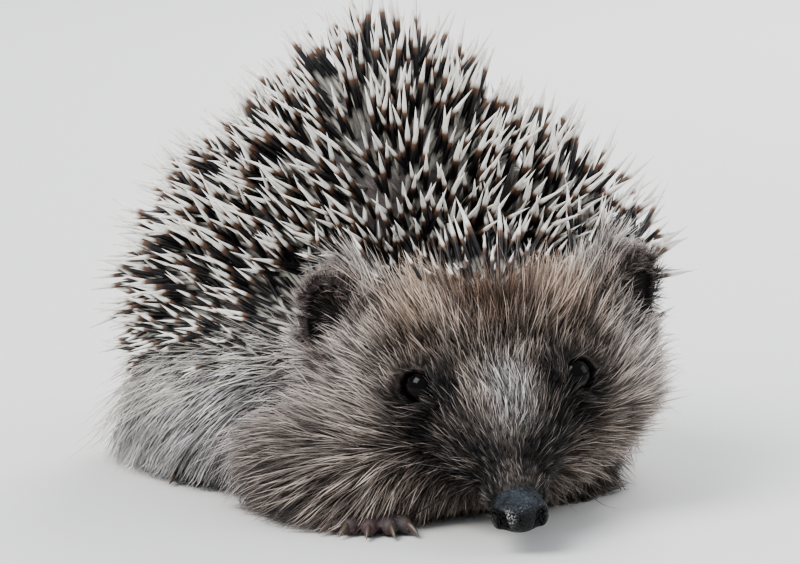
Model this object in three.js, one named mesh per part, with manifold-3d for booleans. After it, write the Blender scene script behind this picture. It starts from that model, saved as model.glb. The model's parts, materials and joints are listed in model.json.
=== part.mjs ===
// A young European hedgehog in life size, crouched on level ground with its nose held low.
// Millimetres, +Z up. The trunk looks along -Y and +X is the animal's left side.
// Every solid reaches to the tips of the coat: quills on the back, long hair on the flanks,
// short hair on the face. The flesh is one set of rounded masses, blended, turned into
// closed meshes and parted with thin cuts into the named parts of the body.
import * as THREE from 'three';
import { mergeVertices } from 'three/addons/utils/BufferGeometryUtils.js';
import Module from 'manifold-3d';

const wasm = await Module();
wasm.setup();

// Driving dimensions.
const GAP = 0.3;                 // between neighbouring parts
const TRUNK_STEP = 8.8;          // mesh size on the trunk and the quilled back
const HEAD_STEP = 6.2;
const MUZZLE_STEP = 3.5;
const ZONE_STEP = 13;            // mesh size of the blocks that only cut
const NOSE_STEP = 1.5;
const EAR_STEP = 2.2;
const SKIRT_CLEARANCE = 1.5;     // height of the flank hair's lower edge above the ground
const BELLY_HEIGHT = 8;          // of the belly between the legs
const EYE_RADIUS = 3;
const EYE_HOLLOW = 4.9;          // radius of the short-haired dent round each eye
const NOSE_RADII = [4.3, 3.6, 3.7];
const NOSTRIL_RADIUS = 1.3;
const EAR_RADII = [7.2, 4.3, 8.5];
const EAR_WALL = 1.3;
const EAR_MOUTH = 1.2;           // how far in front of its middle an ear is cut off
const EAR_TURN = 38;             // degrees that each ear opens outwards
const EAR_TILT = 12;             // degrees that it leans back
const TOES = 5;
const TOE_FAN = 21;              // degrees from toe to toe
const TOE_LENGTH = 6.6;
const TOE_RADIUS = 2;
const CLAW_LENGTH = 4;
const CLAW_RADIUS = 0.9;
const CLAW_DROOP = 14;           // degrees below level
const TOE_HEIGHT = 1.6;          // of a toe's middle line
const FOOT_ROOM = { side: 5, end: 10.5, height: 8.8 };   // free of hair round each foot
const LEG = { foot: 6, top: 15, thin: 4, thick: 6.8 };   // heights and radii of a leg's two ends

// The head is turned to the animal's right, lowered and tilted a little.
const HEAD_YAW = 26;
const HEAD_PITCH = 28;
const HEAD_ROLL = -4;
const NOSE_CENTRE = [-15.4, -65.4, 7.6];
const SHOULDER = [11, -8, 31];   // middle of the shoulders, which turn with the head

// Places on the head: mm behind the nose centre, towards the left and up, in the head's own axes.
const EYE_PLACE = { back: 28, side: 13.4, up: 6.6 };
const EAR_PLACE = { back: 47.5, side: 26.4, up: 8.4 };
const MUZZLE_LENGTH = 16;        // from the nose centre back to the cut between muzzle and head
const HEAD_LENGTH = 42;          // to the cut between head and neck
const NECK_LENGTH = 56;          // to the cut between neck and trunk

// The lower edge of the quills: on the forehead it bows round the crown, on the flanks it sinks backwards.
const BROW = { back: 36.4, depth: 5.8, slope: 0.8, width: 19.4 };
const FLANK_EDGE = { low: 20, rise: 14, from: -23, fade: 20 };

// Feet: where the middle of each sole stands, and how far it is turned to the animal's right.
const FEET = [
  { name: 'fore', side: 'right', x: -24, y: -33, turn: 40, length: 9, width: 9.5 },
  { name: 'fore', side: 'left', x: 16, y: -27, turn: 4, length: 9, width: 9.5 },
  { name: 'hind', side: 'right', x: -26, y: 25, turn: 18, length: 17, width: 9 },
  { name: 'hind', side: 'left', x: 27, y: 24, turn: -18, length: 17, width: 9 },
];

// ---- Vectors and distance fields ----

const rad = THREE.MathUtils.degToRad;
const clamp = THREE.MathUtils.clamp;

// A frame maps points of the stance into a sub-part's own axes: x left, y back, z up.
function frameAt(origin, yaw = 0, pitch = 0, roll = 0) {
  const turn = new THREE.Euler(rad(pitch), rad(roll), rad(-yaw), 'ZXY');
  const place = new THREE.Matrix4().makeRotationFromEuler(turn).setPosition(...origin);
  return { place, inverse: place.clone().invert() };
}

function inFrame(frame, field) {
  const e = frame.inverse.elements;
  return (x, y, z) => field(
    e[0] * x + e[4] * y + e[8] * z + e[12],
    e[1] * x + e[5] * y + e[9] * z + e[13],
    e[2] * x + e[6] * y + e[10] * z + e[14],
  );
}

const pointIn = (frame, x, y, z) => new THREE.Vector3(x, y, z).applyMatrix4(frame.place);

// An ellipsoid, or with a power above 2 a fuller, squarer body. Close to the surface the value is a distance.
function mass([cx, cy, cz], [rx, ry, rz], power = 2) {
  return (x, y, z) => {
    const ax = Math.abs(x - cx) / rx;
    const ay = Math.abs(y - cy) / ry;
    const az = Math.abs(z - cz) / rz;
    const norm = (ax ** power + ay ** power + az ** power) ** (1 / power);
    const slope = Math.hypot(
      ax ** (power - 1) / rx,
      ay ** (power - 1) / ry,
      az ** (power - 1) / rz,
    ) * norm ** (1 - power);
    return norm < 1e-6 ? -Math.min(rx, ry, rz) : (norm - 1) / slope;
  };
}

// A rod with round ends whose radius changes evenly from one end to the other.
function taper(start, end, startRadius, endRadius) {
  const a = new THREE.Vector3(...start);
  const run = new THREE.Vector3(...end).sub(a);
  const lengthSq = run.lengthSq();
  return (x, y, z) => {
    const px = x - a.x;
    const py = y - a.y;
    const pz = z - a.z;
    const t = clamp((px * run.x + py * run.y + pz * run.z) / lengthSq, 0, 1);
    const distance = Math.hypot(px - run.x * t, py - run.y * t, pz - run.z * t);
    return distance - startRadius - (endRadius - startRadius) * t;
  };
}

// The union of several fields, with fillets about `blend` wide where they meet.
function blended(blend, ...fields) {
  return (x, y, z) => {
    let value = fields[0](x, y, z);
    for (let i = 1; i < fields.length; i += 1) {
      const other = fields[i](x, y, z);
      const h = Math.max(blend - Math.abs(value - other), 0) / blend;
      value = Math.min(value, other) - h * h * blend / 4;
    }
    return value;
  };
}

const hollowed = (field, hollow) => (x, y, z) => Math.max(field(x, y, z), -hollow(x, y, z));
const common = (field, other) => (x, y, z) => Math.max(field(x, y, z), other(x, y, z));
const grown = (field, by) => (x, y, z) => field(x, y, z) - by;

// ---- Meshes and cuts ----

const CORNERS = Array.from({ length: 8 }, (_, c) => [c & 1, (c >> 1) & 1, (c >> 2) & 1]);
const EDGES = CORNERS.flatMap((corner, a) => {
  const free = [0, 1, 2].filter((axis) => !corner[axis]);
  return free.map((axis) => [a, a | (1 << axis)]);
});

// True where a cell's corners of one sign aren't all joined by its edges: the surface would pinch there.
function isPinched(mask) {
  return [mask, 255 - mask].some((group) => {
    if (!group) return false;
    let reached = group & -group;
    for (let round = 0; round < 4; round += 1) {
      for (const [a, b] of EDGES) {
        const link = (1 << a) | (1 << b);
        if ((group & link) === link && reached & link) reached |= link;
      }
    }
    return reached !== group;
  });
}
const PINCHED = Array.from({ length: 256 }, (_, mask) => isPinched(mask));

// The surface where a field is zero: one vertex for each crossed cell, one quad for each crossed edge.
// The box from low to high closes whatever it cuts.
function polygonise(field, low, high, step) {
  const [nx, ny, nz] = low.map((value, i) => Math.ceil((high[i] - value) / step) + 1);
  const strides = [1, nx, nx * ny];
  const values = new Float64Array(nx * ny * nz);
  values.forEach((_, at) => {
    const i = at % nx;
    const j = Math.floor(at / nx) % ny;
    const k = Math.floor(at / (nx * ny));
    const value = field(low[0] + i * step, low[1] + j * step, low[2] + k * step);
    const onBox = [[i, nx], [j, ny], [k, nz]].some(([n, count]) => n === 0 || n === count - 1);
    values[at] = onBox ? Math.max(value, 0.5 * step) : value;
  });
  const offsets = CORNERS.map(([i, j, k]) => i + j * nx + k * nx * ny);
  const cells = [];
  for (let k = 0; k < nz - 1; k += 1) {
    for (let j = 0; j < ny - 1; j += 1) {
      for (let i = 0; i < nx - 1; i += 1) cells.push([i, j, k]);
    }
  }
  const start = ([i, j, k]) => i + j * nx + k * nx * ny;
  const bitAt = (at, c) => (values[at + offsets[c]] < 0 ? 1 << c : 0);
  const maskAt = (at) => offsets.reduce((mask, _, c) => mask | bitAt(at, c), 0);

  // A pinched cell takes in its outer corner that is closest to the surface.
  for (let pinches = 1; pinches;) {
    pinches = 0;
    for (const cell of cells) {
      const at = start(cell);
      if (PINCHED[maskAt(at)]) {
        const outer = offsets.map((offset) => at + offset).filter((corner) => values[corner] >= 0);
        outer.sort((a, b) => values[a] - values[b]);
        values[outer[0]] = -0.02 * step;
        pinches += 1;
      }
    }
  }

  const vertexOf = new Map();
  const positions = [];
  for (const cell of cells) {
    const at = start(cell);
    const crossed = EDGES.filter(([a, b]) => (values[at + offsets[a]] < 0) !== (values[at + offsets[b]] < 0));
    if (crossed.length) {
      vertexOf.set(at, positions.length / 3);
      for (let axis = 0; axis < 3; axis += 1) {
        const sum = crossed.reduce((total, [a, b]) => {
          const va = values[at + offsets[a]];
          const vb = values[at + offsets[b]];
          return total + CORNERS[a][axis] + (CORNERS[b][axis] - CORNERS[a][axis]) * va / (va - vb);
        }, 0);
        positions.push(low[axis] + (cell[axis] + sum / crossed.length) * step);
      }
    }
  }

  const triangles = [];
  for (const cell of cells) {
    const here = start(cell);
    const inside = values[here] < 0;
    strides.forEach((stride, axis) => {
      if (inside !== values[here + stride] < 0) {
        const u = strides[(axis + 1) % 3];
        const v = strides[(axis + 2) % 3];
        const ring = [here, here - u, here - u - v, here - v].map((neighbour) => vertexOf.get(neighbour));
        if (!inside) ring.reverse();
        triangles.push(ring[0], ring[1], ring[2], ring[0], ring[2], ring[3]);
      }
    });
  }
  const geometry = new THREE.BufferGeometry();
  geometry.setAttribute('position', new THREE.Float32BufferAttribute(positions, 3));
  geometry.setIndex(triangles);
  return geometry;
}

function solidOf(geometry) {
  const bare = geometry.clone();
  bare.deleteAttribute('normal');
  bare.deleteAttribute('uv');
  const merged = mergeVertices(bare, 1e-4);
  return new wasm.Manifold(new wasm.Mesh({
    numProp: 3,
    vertProperties: new Float32Array(merged.attributes.position.array),
    triVerts: new Uint32Array(merged.index.array),
  }));
}

function geometryOf(solid) {
  const { vertProperties, triVerts } = solid.getMesh();
  const geometry = new THREE.BufferGeometry();
  geometry.setAttribute('position', new THREE.BufferAttribute(vertProperties, 3));
  geometry.setIndex(new THREE.BufferAttribute(triVerts, 1));
  geometry.computeVertexNormals();
  return geometry;
}

const solidFrom = (field, low, high, step) => solidOf(polygonise(field, low, high, step));

// All that lies beyond a plane, seen along its normal, as one large block.
function beyond(point, normal, shift = 0) {
  const size = 400;
  const block = new THREE.BoxGeometry(size, size, size);
  block.translate(0, 0, size / 2 + shift);
  const turn = new THREE.Quaternion().setFromUnitVectors(new THREE.Vector3(0, 0, 1), normal);
  block.applyQuaternion(turn);
  block.translate(point.x, point.y, point.z);
  return solidOf(block);
}

// A tapering rod with round ends, turned from a profile.
function rod(start, end, startRadius, endRadius, columns = 10, steps = 3) {
  const a = new THREE.Vector3(...start);
  const b = new THREE.Vector3(...end);
  const length = a.distanceTo(b);
  const profile = [];
  for (let i = 0; i <= steps; i += 1) {
    const angle = (i / steps) * Math.PI / 2;
    profile.push(new THREE.Vector2(Math.sin(angle) * startRadius, -Math.cos(angle) * startRadius));
  }
  for (let i = 0; i <= steps; i += 1) {
    const angle = (i / steps) * Math.PI / 2;
    profile.push(new THREE.Vector2(Math.cos(angle) * endRadius, length + Math.sin(angle) * endRadius));
  }
  profile[0].x = 0;
  profile[profile.length - 1].x = 0;
  const turned = new THREE.LatheGeometry(profile, columns);
  const direction = b.clone().sub(a).normalize();
  turned.applyQuaternion(new THREE.Quaternion().setFromUnitVectors(new THREE.Vector3(0, 1, 0), direction));
  turned.translate(a.x, a.y, a.z);
  return turned;
}

function ellipsoid([x, y, z], [rx, ry, rz], columns = 16, rows = 10) {
  const shape = new THREE.SphereGeometry(1, columns, rows);
  shape.rotateX(Math.PI / 2);
  shape.scale(rx, ry, rz);
  shape.translate(x, y, z);
  return shape;
}

const placed = (geometry, frame) => solidOf(geometry.applyMatrix4(frame.place));

// ---- The outline of the coat ----

const sides = [['left', 1], ['right', -1]];
const headFrame = frameAt(NOSE_CENTRE, HEAD_YAW, HEAD_PITCH, HEAD_ROLL);
const shoulderFrame = frameAt(SHOULDER, HEAD_YAW);
const LOW = [-66, -82, -32];     // a box round all the masses
const HIGH = [72, 80, 104];

// Rump, hump, shoulders, then the long hair that hangs low round the belly and both forelegs.
const trunkField = blended(
  10,
  mass([0.5, 20.5, 29], [41, 38.5, 42]),
  mass([2.5, 5, 39], [30.5, 35, 47.5]),
  inFrame(shoulderFrame, mass([0, 0, 0], [41, 25, 42])),
  mass([0, 17, 12], [39, 40, 21], 2.4),
  mass([-19, -20, 9], [22, 22, 14], 2.3),
  mass([14, -24, 10], [19, 20, 15], 2.3),
);

// Crown, both cheeks, the ruff round each ear and the throat.
const craniumField = inFrame(headFrame, blended(
  11,
  mass([0, 46, 5], [24, 20, 19.5]),
  mass([18, 41, -3], [16.5, 18, 14]),
  mass([-18, 41, -3], [16.5, 18, 14]),
  mass([24, 52, 6], [12, 13, 15]),
  mass([-24, 52, 6], [12, 13, 15]),
  mass([0, 38, -11], [23, 20, 12]),
));

// Face and muzzle in front of them.
const muzzleField = inFrame(headFrame, blended(
  5,
  mass([0, 25, 1], [14, 16, 12]),
  taper([0, 3, -0.4], [0, 19, -0.6], 4.3, 8.6),
));
const headField = blended(6, craniumField, muzzleField);
const trunkCoat = blended(9, trunkField, craniumField);
const headCoat = blended(9, trunkField, headField);

// ---- Where the parts are parted ----

const HEAD_REACH = 7;            // how far the head's share of the coat goes beyond its masses
const quillZone = blended(
  1,
  common(
    inFrame(shoulderFrame, (x, y, z) => {
      const { low, rise, from, fade } = FLANK_EDGE;
      return low - SHOULDER[2] + rise * Math.exp(Math.min(0, from - y) / fade) - z;
    }),
    inFrame(headFrame, (x, y, z) => {
      const { back, depth, slope, width } = BROW;
      return back + (depth + slope * z) * (1 - Math.exp(-((x / width) ** 2))) - y;
    }),
  ),
);
const zoneSolid = (zone, by = 0) => solidFrom(grown(zone, by), LOW, HIGH, ZONE_STEP);

// ---- Sub-parts ----

const model = new THREE.Group();
const up = new THREE.Vector3(0, 0, 1);
const headBack = new THREE.Vector3(0, 1, 0).transformDirection(headFrame.place);
const behindNose = (distance) => beyond(pointIn(headFrame, 0, 0, 0), headBack, distance);
const ground = new THREE.Vector3(0, 0, 0);
const aboveSkirt = beyond(ground, up, SKIRT_CLEARANCE);

function add(name, solid, color, roughness) {
  const mesh = new THREE.Mesh(
    geometryOf(solid),
    new THREE.MeshStandardMaterial({ color, roughness, metalness: 0 }),
  );
  mesh.name = name;
  model.add(mesh);
}

const without = (solid, others) => others.reduce((rest, other) => rest.subtract(other), solid);

function noseField(by = 0) {
  const [rx, ry, rz] = NOSE_RADII;
  const pad = mass([0, 0, 0], [rx + by, ry + by, rz + by], 2.2);
  const nostrils = sides.map(([, sign]) => mass(
    [sign * rx * 0.72, -ry * 0.62, -rz * 0.1],
    [NOSTRIL_RADIUS, NOSTRIL_RADIUS * 1.4, NOSTRIL_RADIUS * 0.8],
  ));
  const cut = by ? pad : nostrils.reduce(hollowed, pad);
  return inFrame(headFrame, cut);
}

function aroundNose(by) {
  const c = NOSE_CENTRE;
  const reach = 9;
  return solidFrom(noseField(by), c.map((v) => v - reach), c.map((v) => v + reach), NOSE_STEP);
}

// The ear is a cupped shell that opens forwards and outwards.
function earFrame(sign) {
  const at = pointIn(headFrame, sign * EAR_PLACE.side, EAR_PLACE.back, EAR_PLACE.up);
  return frameAt(at.toArray(), HEAD_YAW - sign * EAR_TURN, EAR_TILT);
}

function earShell(sign) {
  const [rx, ry, rz] = EAR_RADII;
  const shell = mass([0, 0, 0], [rx, ry, rz]);
  const bowl = mass([0, -EAR_WALL * 1.6, 0], [rx - EAR_WALL, ry, rz - EAR_WALL]);
  const mouth = (x, y) => -EAR_MOUTH - y;
  const frame = earFrame(sign);
  const at = pointIn(frame, 0, 0, 0).toArray();
  const reach = 12;
  const field = inFrame(frame, common(hollowed(shell, bowl), mouth));
  return solidFrom(field, at.map((v) => v - reach), at.map((v) => v + reach), EAR_STEP);
}

// The space that the hair leaves round an ear.
function earRoom(sign) {
  const radii = EAR_RADII.map((r) => r + 3 * GAP);
  return placed(ellipsoid([0, 0, 0], radii, 14, 9), earFrame(sign));
}

function eyeBall(sign, radius) {
  const { side, back, up: height } = EYE_PLACE;
  return placed(ellipsoid([sign * side, back, height], [radius, radius, radius], 14, 7), headFrame);
}

// The face's short hair leaves each eye free: a shallow dent that opens outwards.
function eyeHollow(sign) {
  const { side, back, up: height } = EYE_PLACE;
  const at = [sign * (side + 3.4), back - 2, height + 2];
  return placed(ellipsoid(at, [EYE_HOLLOW, EYE_HOLLOW, EYE_HOLLOW], 12, 7), headFrame);
}

function jawSolid(by) {
  return placed(rod([0, 6.8, -5.4], [0, 21, -8], 2.2 + by, 4.8 + by, 14), headFrame);
}

// A foot: sole pad, heel and five toes in a fan, each with its claw, cut flat where it meets the ground.
function footSolid({ x, y, turn, length, width }) {
  const frame = frameAt([x, y, 0], turn);
  const pad = placed(ellipsoid([0, 0, 1.8], [width / 2, length / 2 + 1, 3.4], 8, 6), frame);
  const heel = placed(ellipsoid([0, length / 4, 3], [width / 2.6, length / 4 + 1, 4], 8, 5), frame);
  let foot = pad.add(heel);
  for (let i = -TOES / 2 + 0.5; i < TOES / 2; i += 1) {
    const angle = i * TOE_FAN;
    const toe = frameAt([0, -length / 2 + 1, 0], -angle);
    const reach = TOE_LENGTH - Math.abs(i) * 0.5;
    const spread = width * 0.4 * Math.sin(rad(angle));
    const root = [spread, 0, TOE_HEIGHT];
    const tip = [spread, -reach, TOE_HEIGHT - 0.2];
    const bone = rod(root, tip, TOE_RADIUS, TOE_RADIUS * 0.85, 5, 2);
    const claw = new THREE.ConeGeometry(CLAW_RADIUS, CLAW_LENGTH, 5);
    claw.rotateX(rad(180 + CLAW_DROOP));
    claw.translate(spread, -reach - CLAW_LENGTH / 2 - 0.4, TOE_HEIGHT + 0.1);
    for (const piece of [bone, claw]) {
      foot = foot.add(placed(piece.applyMatrix4(toe.place), frame));
    }
  }
  return foot.intersect(beyond(ground, up));
}

function legSolid({ name, x, y, turn }, by) {
  const lean = name === 'fore' ? 5 : 3;
  const { foot, top, thin, thick } = LEG;
  return placed(rod([0, 1, foot], [0, lean, top], thin + by, thick + by), frameAt([x, y, 0], turn));
}

// The space that the hair leaves round a foot.
function footRoom({ x, y, turn, length, width }) {
  const { side, end, height } = FOOT_ROOM;
  const radii = [width / 2 + side, length / 2 + end, height];
  return placed(ellipsoid([0, -2, 0], radii, 12, 6), frameAt([x, y, 0], turn));
}

const tailSolid = (by) => solidOf(rod([0, 47, 7.5], [0, 59.5, 4.6], 3.4 + by, 1.6 + by, 8));
const bellyHollow = solidOf(ellipsoid([0, 8, 0], [26, 42, BELLY_HEIGHT], 16, 6));

const HAIR = '#9a8772';
const QUILL = '#4a3a2c';
const SKIN = '#4c3c36';

const quills = zoneSolid(quillZone);
const quillsCut = quills.add(zoneSolid(quillZone, GAP));
const heads = zoneSolid(headField, HEAD_REACH);
const headsRoom = heads.add(zoneSolid(headField, HEAD_REACH + GAP));
const headsCut = headsRoom.subtract(behindNose(NECK_LENGTH + GAP));
const muzzles = solidFrom(grown(muzzleField, 2), LOW, [40, -20, 50], 3);

const limbs = FEET.map((foot) => ({
  ...foot,
  leg: legSolid(foot, 0),
  legRoom: legSolid(foot, GAP),
  foot: footSolid(foot),
  footRoom: footRoom(foot),
}));
const earRooms = sides.map(([, sign]) => earRoom(sign));
const limbRooms = limbs.flatMap(({ legRoom, footRoom: room }) => [legRoom, room]);

const trunkSolid = solidFrom(trunkCoat, LOW, HIGH, TRUNK_STEP).intersect(aboveSkirt);
const headSolid = solidFrom(headCoat, LOW, [HIGH[0], 10, 80], HEAD_STEP).intersect(aboveSkirt);
const muzzleCoat = solidFrom(headCoat, [-50, LOW[1], -20], [40, -20, 40], MUZZLE_STEP);
const muzzleSolid = muzzleCoat.intersect(aboveSkirt).intersect(muzzles);
const headShare = headSolid.intersect(heads);

add('mantle', without(trunkSolid.intersect(quills), [...earRooms, ...limbRooms]), QUILL, 0.6);
add('trunk', without(trunkSolid, [
  quillsCut, headsCut, bellyHollow, tailSolid(GAP), ...earRooms, ...limbRooms,
]), HAIR, 0.95);
add('tail', tailSolid(0), SKIN, 0.8);
const behindHead = headShare.intersect(behindNose(HEAD_LENGTH + GAP));
add('neck', without(behindHead, [
  behindNose(NECK_LENGTH), quillsCut, ...earRooms, ...limbRooms,
]), HAIR, 0.95);

const eyeRooms = sides.flatMap(([, sign]) => [eyeBall(sign, EYE_RADIUS + GAP), eyeHollow(sign)]);
const behindMuzzle = headShare.intersect(behindNose(MUZZLE_LENGTH + GAP));
add('head', without(behindMuzzle, [
  behindNose(HEAD_LENGTH), quillsCut, jawSolid(GAP), ...eyeRooms, ...earRooms, ...limbRooms,
]), HAIR, 0.95);
add('muzzle', without(muzzleSolid, [
  behindNose(MUZZLE_LENGTH), jawSolid(GAP), aroundNose(GAP),
]), HAIR, 0.9);
add('jaw', jawSolid(0), HAIR, 0.9);
add('nose', aroundNose(0), '#17171a', 0.35);
for (const [side, sign] of sides) add(`eye_${side}`, eyeBall(sign, EYE_RADIUS), '#0b0a0a', 0.08);
for (const [side, sign] of sides) add(`ear_${side}`, earShell(sign), SKIN, 0.85);
for (const { name, side, leg, foot, footRoom: room } of limbs) {
  add(`${name}leg_${side}`, leg.subtract(room), HAIR, 0.95);
  add(`${name}foot_${side}`, foot, SKIN, 0.8);
}

// The origin is the middle of the model's box, on the ground.
model.updateMatrixWorld(true);
const extent = new THREE.Box3().setFromObject(model);
model.position.set(-(extent.min.x + extent.max.x) / 2, -(extent.min.y + extent.max.y) / 2, 0);

export default model;
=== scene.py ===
"""A life-size model of a young hedgehog: skin, eyes, nose, claws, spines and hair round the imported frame."""

import json
import math
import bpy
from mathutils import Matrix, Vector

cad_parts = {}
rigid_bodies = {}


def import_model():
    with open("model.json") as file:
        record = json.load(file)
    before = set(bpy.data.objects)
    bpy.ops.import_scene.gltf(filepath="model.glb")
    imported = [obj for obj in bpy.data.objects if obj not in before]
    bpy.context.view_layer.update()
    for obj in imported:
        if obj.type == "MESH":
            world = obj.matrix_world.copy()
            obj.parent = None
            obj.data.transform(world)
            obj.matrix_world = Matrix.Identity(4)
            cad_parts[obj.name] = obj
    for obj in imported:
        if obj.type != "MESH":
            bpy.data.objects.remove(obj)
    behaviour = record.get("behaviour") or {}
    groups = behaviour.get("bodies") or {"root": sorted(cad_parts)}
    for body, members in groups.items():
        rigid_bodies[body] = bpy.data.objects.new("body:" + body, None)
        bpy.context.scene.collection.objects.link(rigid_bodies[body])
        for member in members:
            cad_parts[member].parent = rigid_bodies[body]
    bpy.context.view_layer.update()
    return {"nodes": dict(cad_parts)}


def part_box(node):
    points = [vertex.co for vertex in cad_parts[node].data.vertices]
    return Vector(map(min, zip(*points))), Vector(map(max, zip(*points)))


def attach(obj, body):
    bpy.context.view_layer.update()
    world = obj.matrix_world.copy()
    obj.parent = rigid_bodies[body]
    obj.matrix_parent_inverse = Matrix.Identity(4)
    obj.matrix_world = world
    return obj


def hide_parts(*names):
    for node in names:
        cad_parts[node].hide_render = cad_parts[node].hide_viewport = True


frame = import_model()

from types import SimpleNamespace

import bmesh
import bpy
import numpy as np
from mathutils import Matrix, Vector

bl_info = {
    "name": "Hedgehog",
    "version": (1, 0, 0),
    "blender": (4, 5, 0),
    "location": "View3D > Sidebar > Hedgehog",
    "description": "Builds the skin, eyes, nose, claws, spines and hair of a young hedgehog",
    "category": "Object",
}

MM = 0.001

# The animal stands in millimetres round a point on the ground under its trunk: -Y is ahead, +X its left.
# Angles are in degrees.
HEAD_YAW = 26
HEAD_PITCH = 28
HEAD_ROLL = -4
NOSE_TIP = (-15.4, -65.4, 7.6)
SHOULDER = (11, -8, 31)
EYE_PLACE = (13.4, 28, 6.6)       # side, back and up from the nose, in the head's own directions
EYE_LOOK = (0.52, -0.70, 0.48)    # the way the left eye faces
EYE_SLANT = 10                    # how far an eye's slit is turned about the way it faces
EYE_BULGE = 0.7                   # how far an eyeball stands out of its socket's middle
SOCKET_GAP = 0.03                 # between an eyeball and its socket
LID = 0.4                         # thickness of an eyelid
EAR_PLACE = (26.4, 47.5, 8.4)
EAR_TURN = 38                     # how far an ear's cup is turned outwards
EAR_TIP = 12                      # how far its top tips ahead
EAR_RADII = (6.9, 4.1, 8.2)
EAR_WALL = 1.2
NOSE_RADII = (4.3, 3.6, 3.7)
SIDES = (("left", 1), ("right", -1))
HEM_LOW = 20                      # height of the spines' hem along the flank
HEM_RISE = 14                     # how much higher it is at the neck
HEM_NECK = -23                    # where it starts to fall, as seen from the shoulder
HEM_FALL = 20                     # how gradually it falls
BROW_BACK = 36.4                  # how far behind the nose the hem crosses the forehead
BROW_SWEEP = 5.8                  # how much farther back it lies beside the forehead
BROW_SLOPE = 0.8                  # and how much more for each millimetre higher up
BROW_WIDTH = 19.4                 # how far from the middle it turns back
QUILL_COVER = 0.86                # height of the coat's outline over the spines, as a share of their height
HAIR_COVER = 0.95                 # and over the hair

# Each foot: its name, its place, the way it points, its length and its width.
FEET = (
    ("forefoot_right", (-24, -33), 40, 9, 9.5),
    ("forefoot_left", (16, -27), 4, 9, 9.5),
    ("hindfoot_right", (-26, 25), 18, 17, 9),
    ("hindfoot_left", (27, 24), -18, 17, 9),
)
SOLE_GAP = 0.05                   # how far the skin of the soles is off the ground
SOLE_TUCK = 0.25                  # how far the skin of a sole lies inside its outline
TOES = 5
TOE_FAN = 21                      # from one toe to the next
TOE_LENGTH = 6.6
TOE_BALL = 1.75                   # half a toe's thickness at its root


def linear(hex_colour):
    """An sRGB hex colour such as 0xE8DCC8 as linear red, green and blue."""
    parts = [(hex_colour >> shift & 255) / 255 for shift in (16, 8, 0)]
    return tuple(c / 12.92 if c <= 0.04045 else ((c + 0.055) / 1.055) ** 2.4 for c in parts)


# ---- Settings ----


def length_of(name, description, default):
    """A length that the user may change, in metres."""
    return bpy.props.FloatProperty(
        name=name, description=description, default=default, unit="LENGTH", subtype="DISTANCE", precision=5)


def colour_of(name, description, hex_colour):
    """A colour that the user may change."""
    return bpy.props.FloatVectorProperty(
        name=name, description=description, default=linear(hex_colour), subtype="COLOR", min=0, max=1)


def angle_of(name, description, degrees):
    """An angle that the user may change."""
    return bpy.props.FloatProperty(
        name=name, description=description, default=math.radians(degrees), subtype="ANGLE")


class HedgehogSizes(bpy.types.PropertyGroup):
    """How long and how thick the spines and the hair are."""

    quill_length: length_of("Spine length", "Length of a full-grown spine on the back", 17.5 * MM)
    quill_width: length_of("Spine width", "Thickness of a spine at its middle", 1.02 * MM)
    quill_spacing: length_of("Spine spacing", "Least distance between two spines' roots", 1.42 * MM)
    quill_lift: angle_of("Spine lift", "How far the spines stand off the skin on the back", 54)
    hair_width: length_of("Hair width", "Thickness of a hair 10 mm long", 0.165 * MM)
    face_spacing: length_of("Face hair spacing", "Least distance between locks on the face", 0.78 * MM)
    flank_spacing: length_of("Flank hair spacing", "Least distance between locks on the flanks", 1.05 * MM)
    whisker_length: length_of("Whisker length", "Length of the longest whiskers", 17 * MM)
    eye_radius: length_of("Eye radius", "Radius of an eyeball", 3.0 * MM)
    claw_length: length_of("Claw length", "Length of a claw", 4 * MM)


class HedgehogColours(bpy.types.PropertyGroup):
    """The colours of the skin, the hair and the horny parts."""

    quill_tip: colour_of("Spine tip", "Cream white end of a spine", 0xF1EDE5)
    quill_ring: colour_of("Spine ring", "Horn brown where the tip meets the band", 0x6B4E3A)
    quill_band: colour_of("Spine band", "Black brown band of a spine", 0x191517)
    quill_base: colour_of("Spine base", "Greyish white foot of a spine", 0xCDC8BF)
    hair: colour_of("Hair", "Taupe hair of the face", 0xA3978F)
    hair_pale: colour_of("Pale hair", "Light grey hair of the muzzle's bridge, cheeks and flanks", 0xD2D1D4)
    hair_warm: colour_of("Warm hair", "Fawn hair of the brow, crown and lower flanks", 0x947A62)
    hair_rust: colour_of("Rust hair", "Rust brown hair in the middle of the forehead", 0x4C3220)
    hair_dark: colour_of("Dark hair", "Brown black hair round the eyes and on the muzzle", 0x211D1F)
    hair_umber: colour_of("Umber hair", "Dark brown hair of the ears, and in front of them", 0x4A372C)
    guard: colour_of("Guard hair", "Long near-white hairs along the hem", 0xE9E4DA)
    skin: colour_of("Skin", "Skin of the legs, feet and tail", 0x4C4242)
    # Painted shade in the hollows of the ears and at the rims of the eye sockets.
    hollow_shade: colour_of("Deep skin", "Skin in the ears and on the edges of the lids", 0x120D0D)
    leather: colour_of("Nose leather", "Wet black skin of the nose", 0x050506)
    leather_top: colour_of("Nose bridge", "Blue grey, dusty top of the nose", 0x383D43)
    # A painted glint: pale grains that stand for light caught on the wing of the right nostril.
    painted_nose_glint: colour_of("Nose wing", "Dry, grainy wing of the right nostril", 0xBDB6B6)
    # Painted shade inside the nostrils.
    nostril: colour_of("Nostril", "Inside of the nostrils", 0x070707)
    eye: colour_of("Eye", "Black brown eye", 0x0A0706)
    claw: colour_of("Claw", "Horn brown claw", 0x4E4038)
    claw_point: colour_of("Claw point", "Worn, paler end of a claw", 0x63564C)
    floor: colour_of("Floor", "Pale studio floor", 0xD9D7D3)


# ---- Fields: negative inside, about millimetres ----


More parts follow.
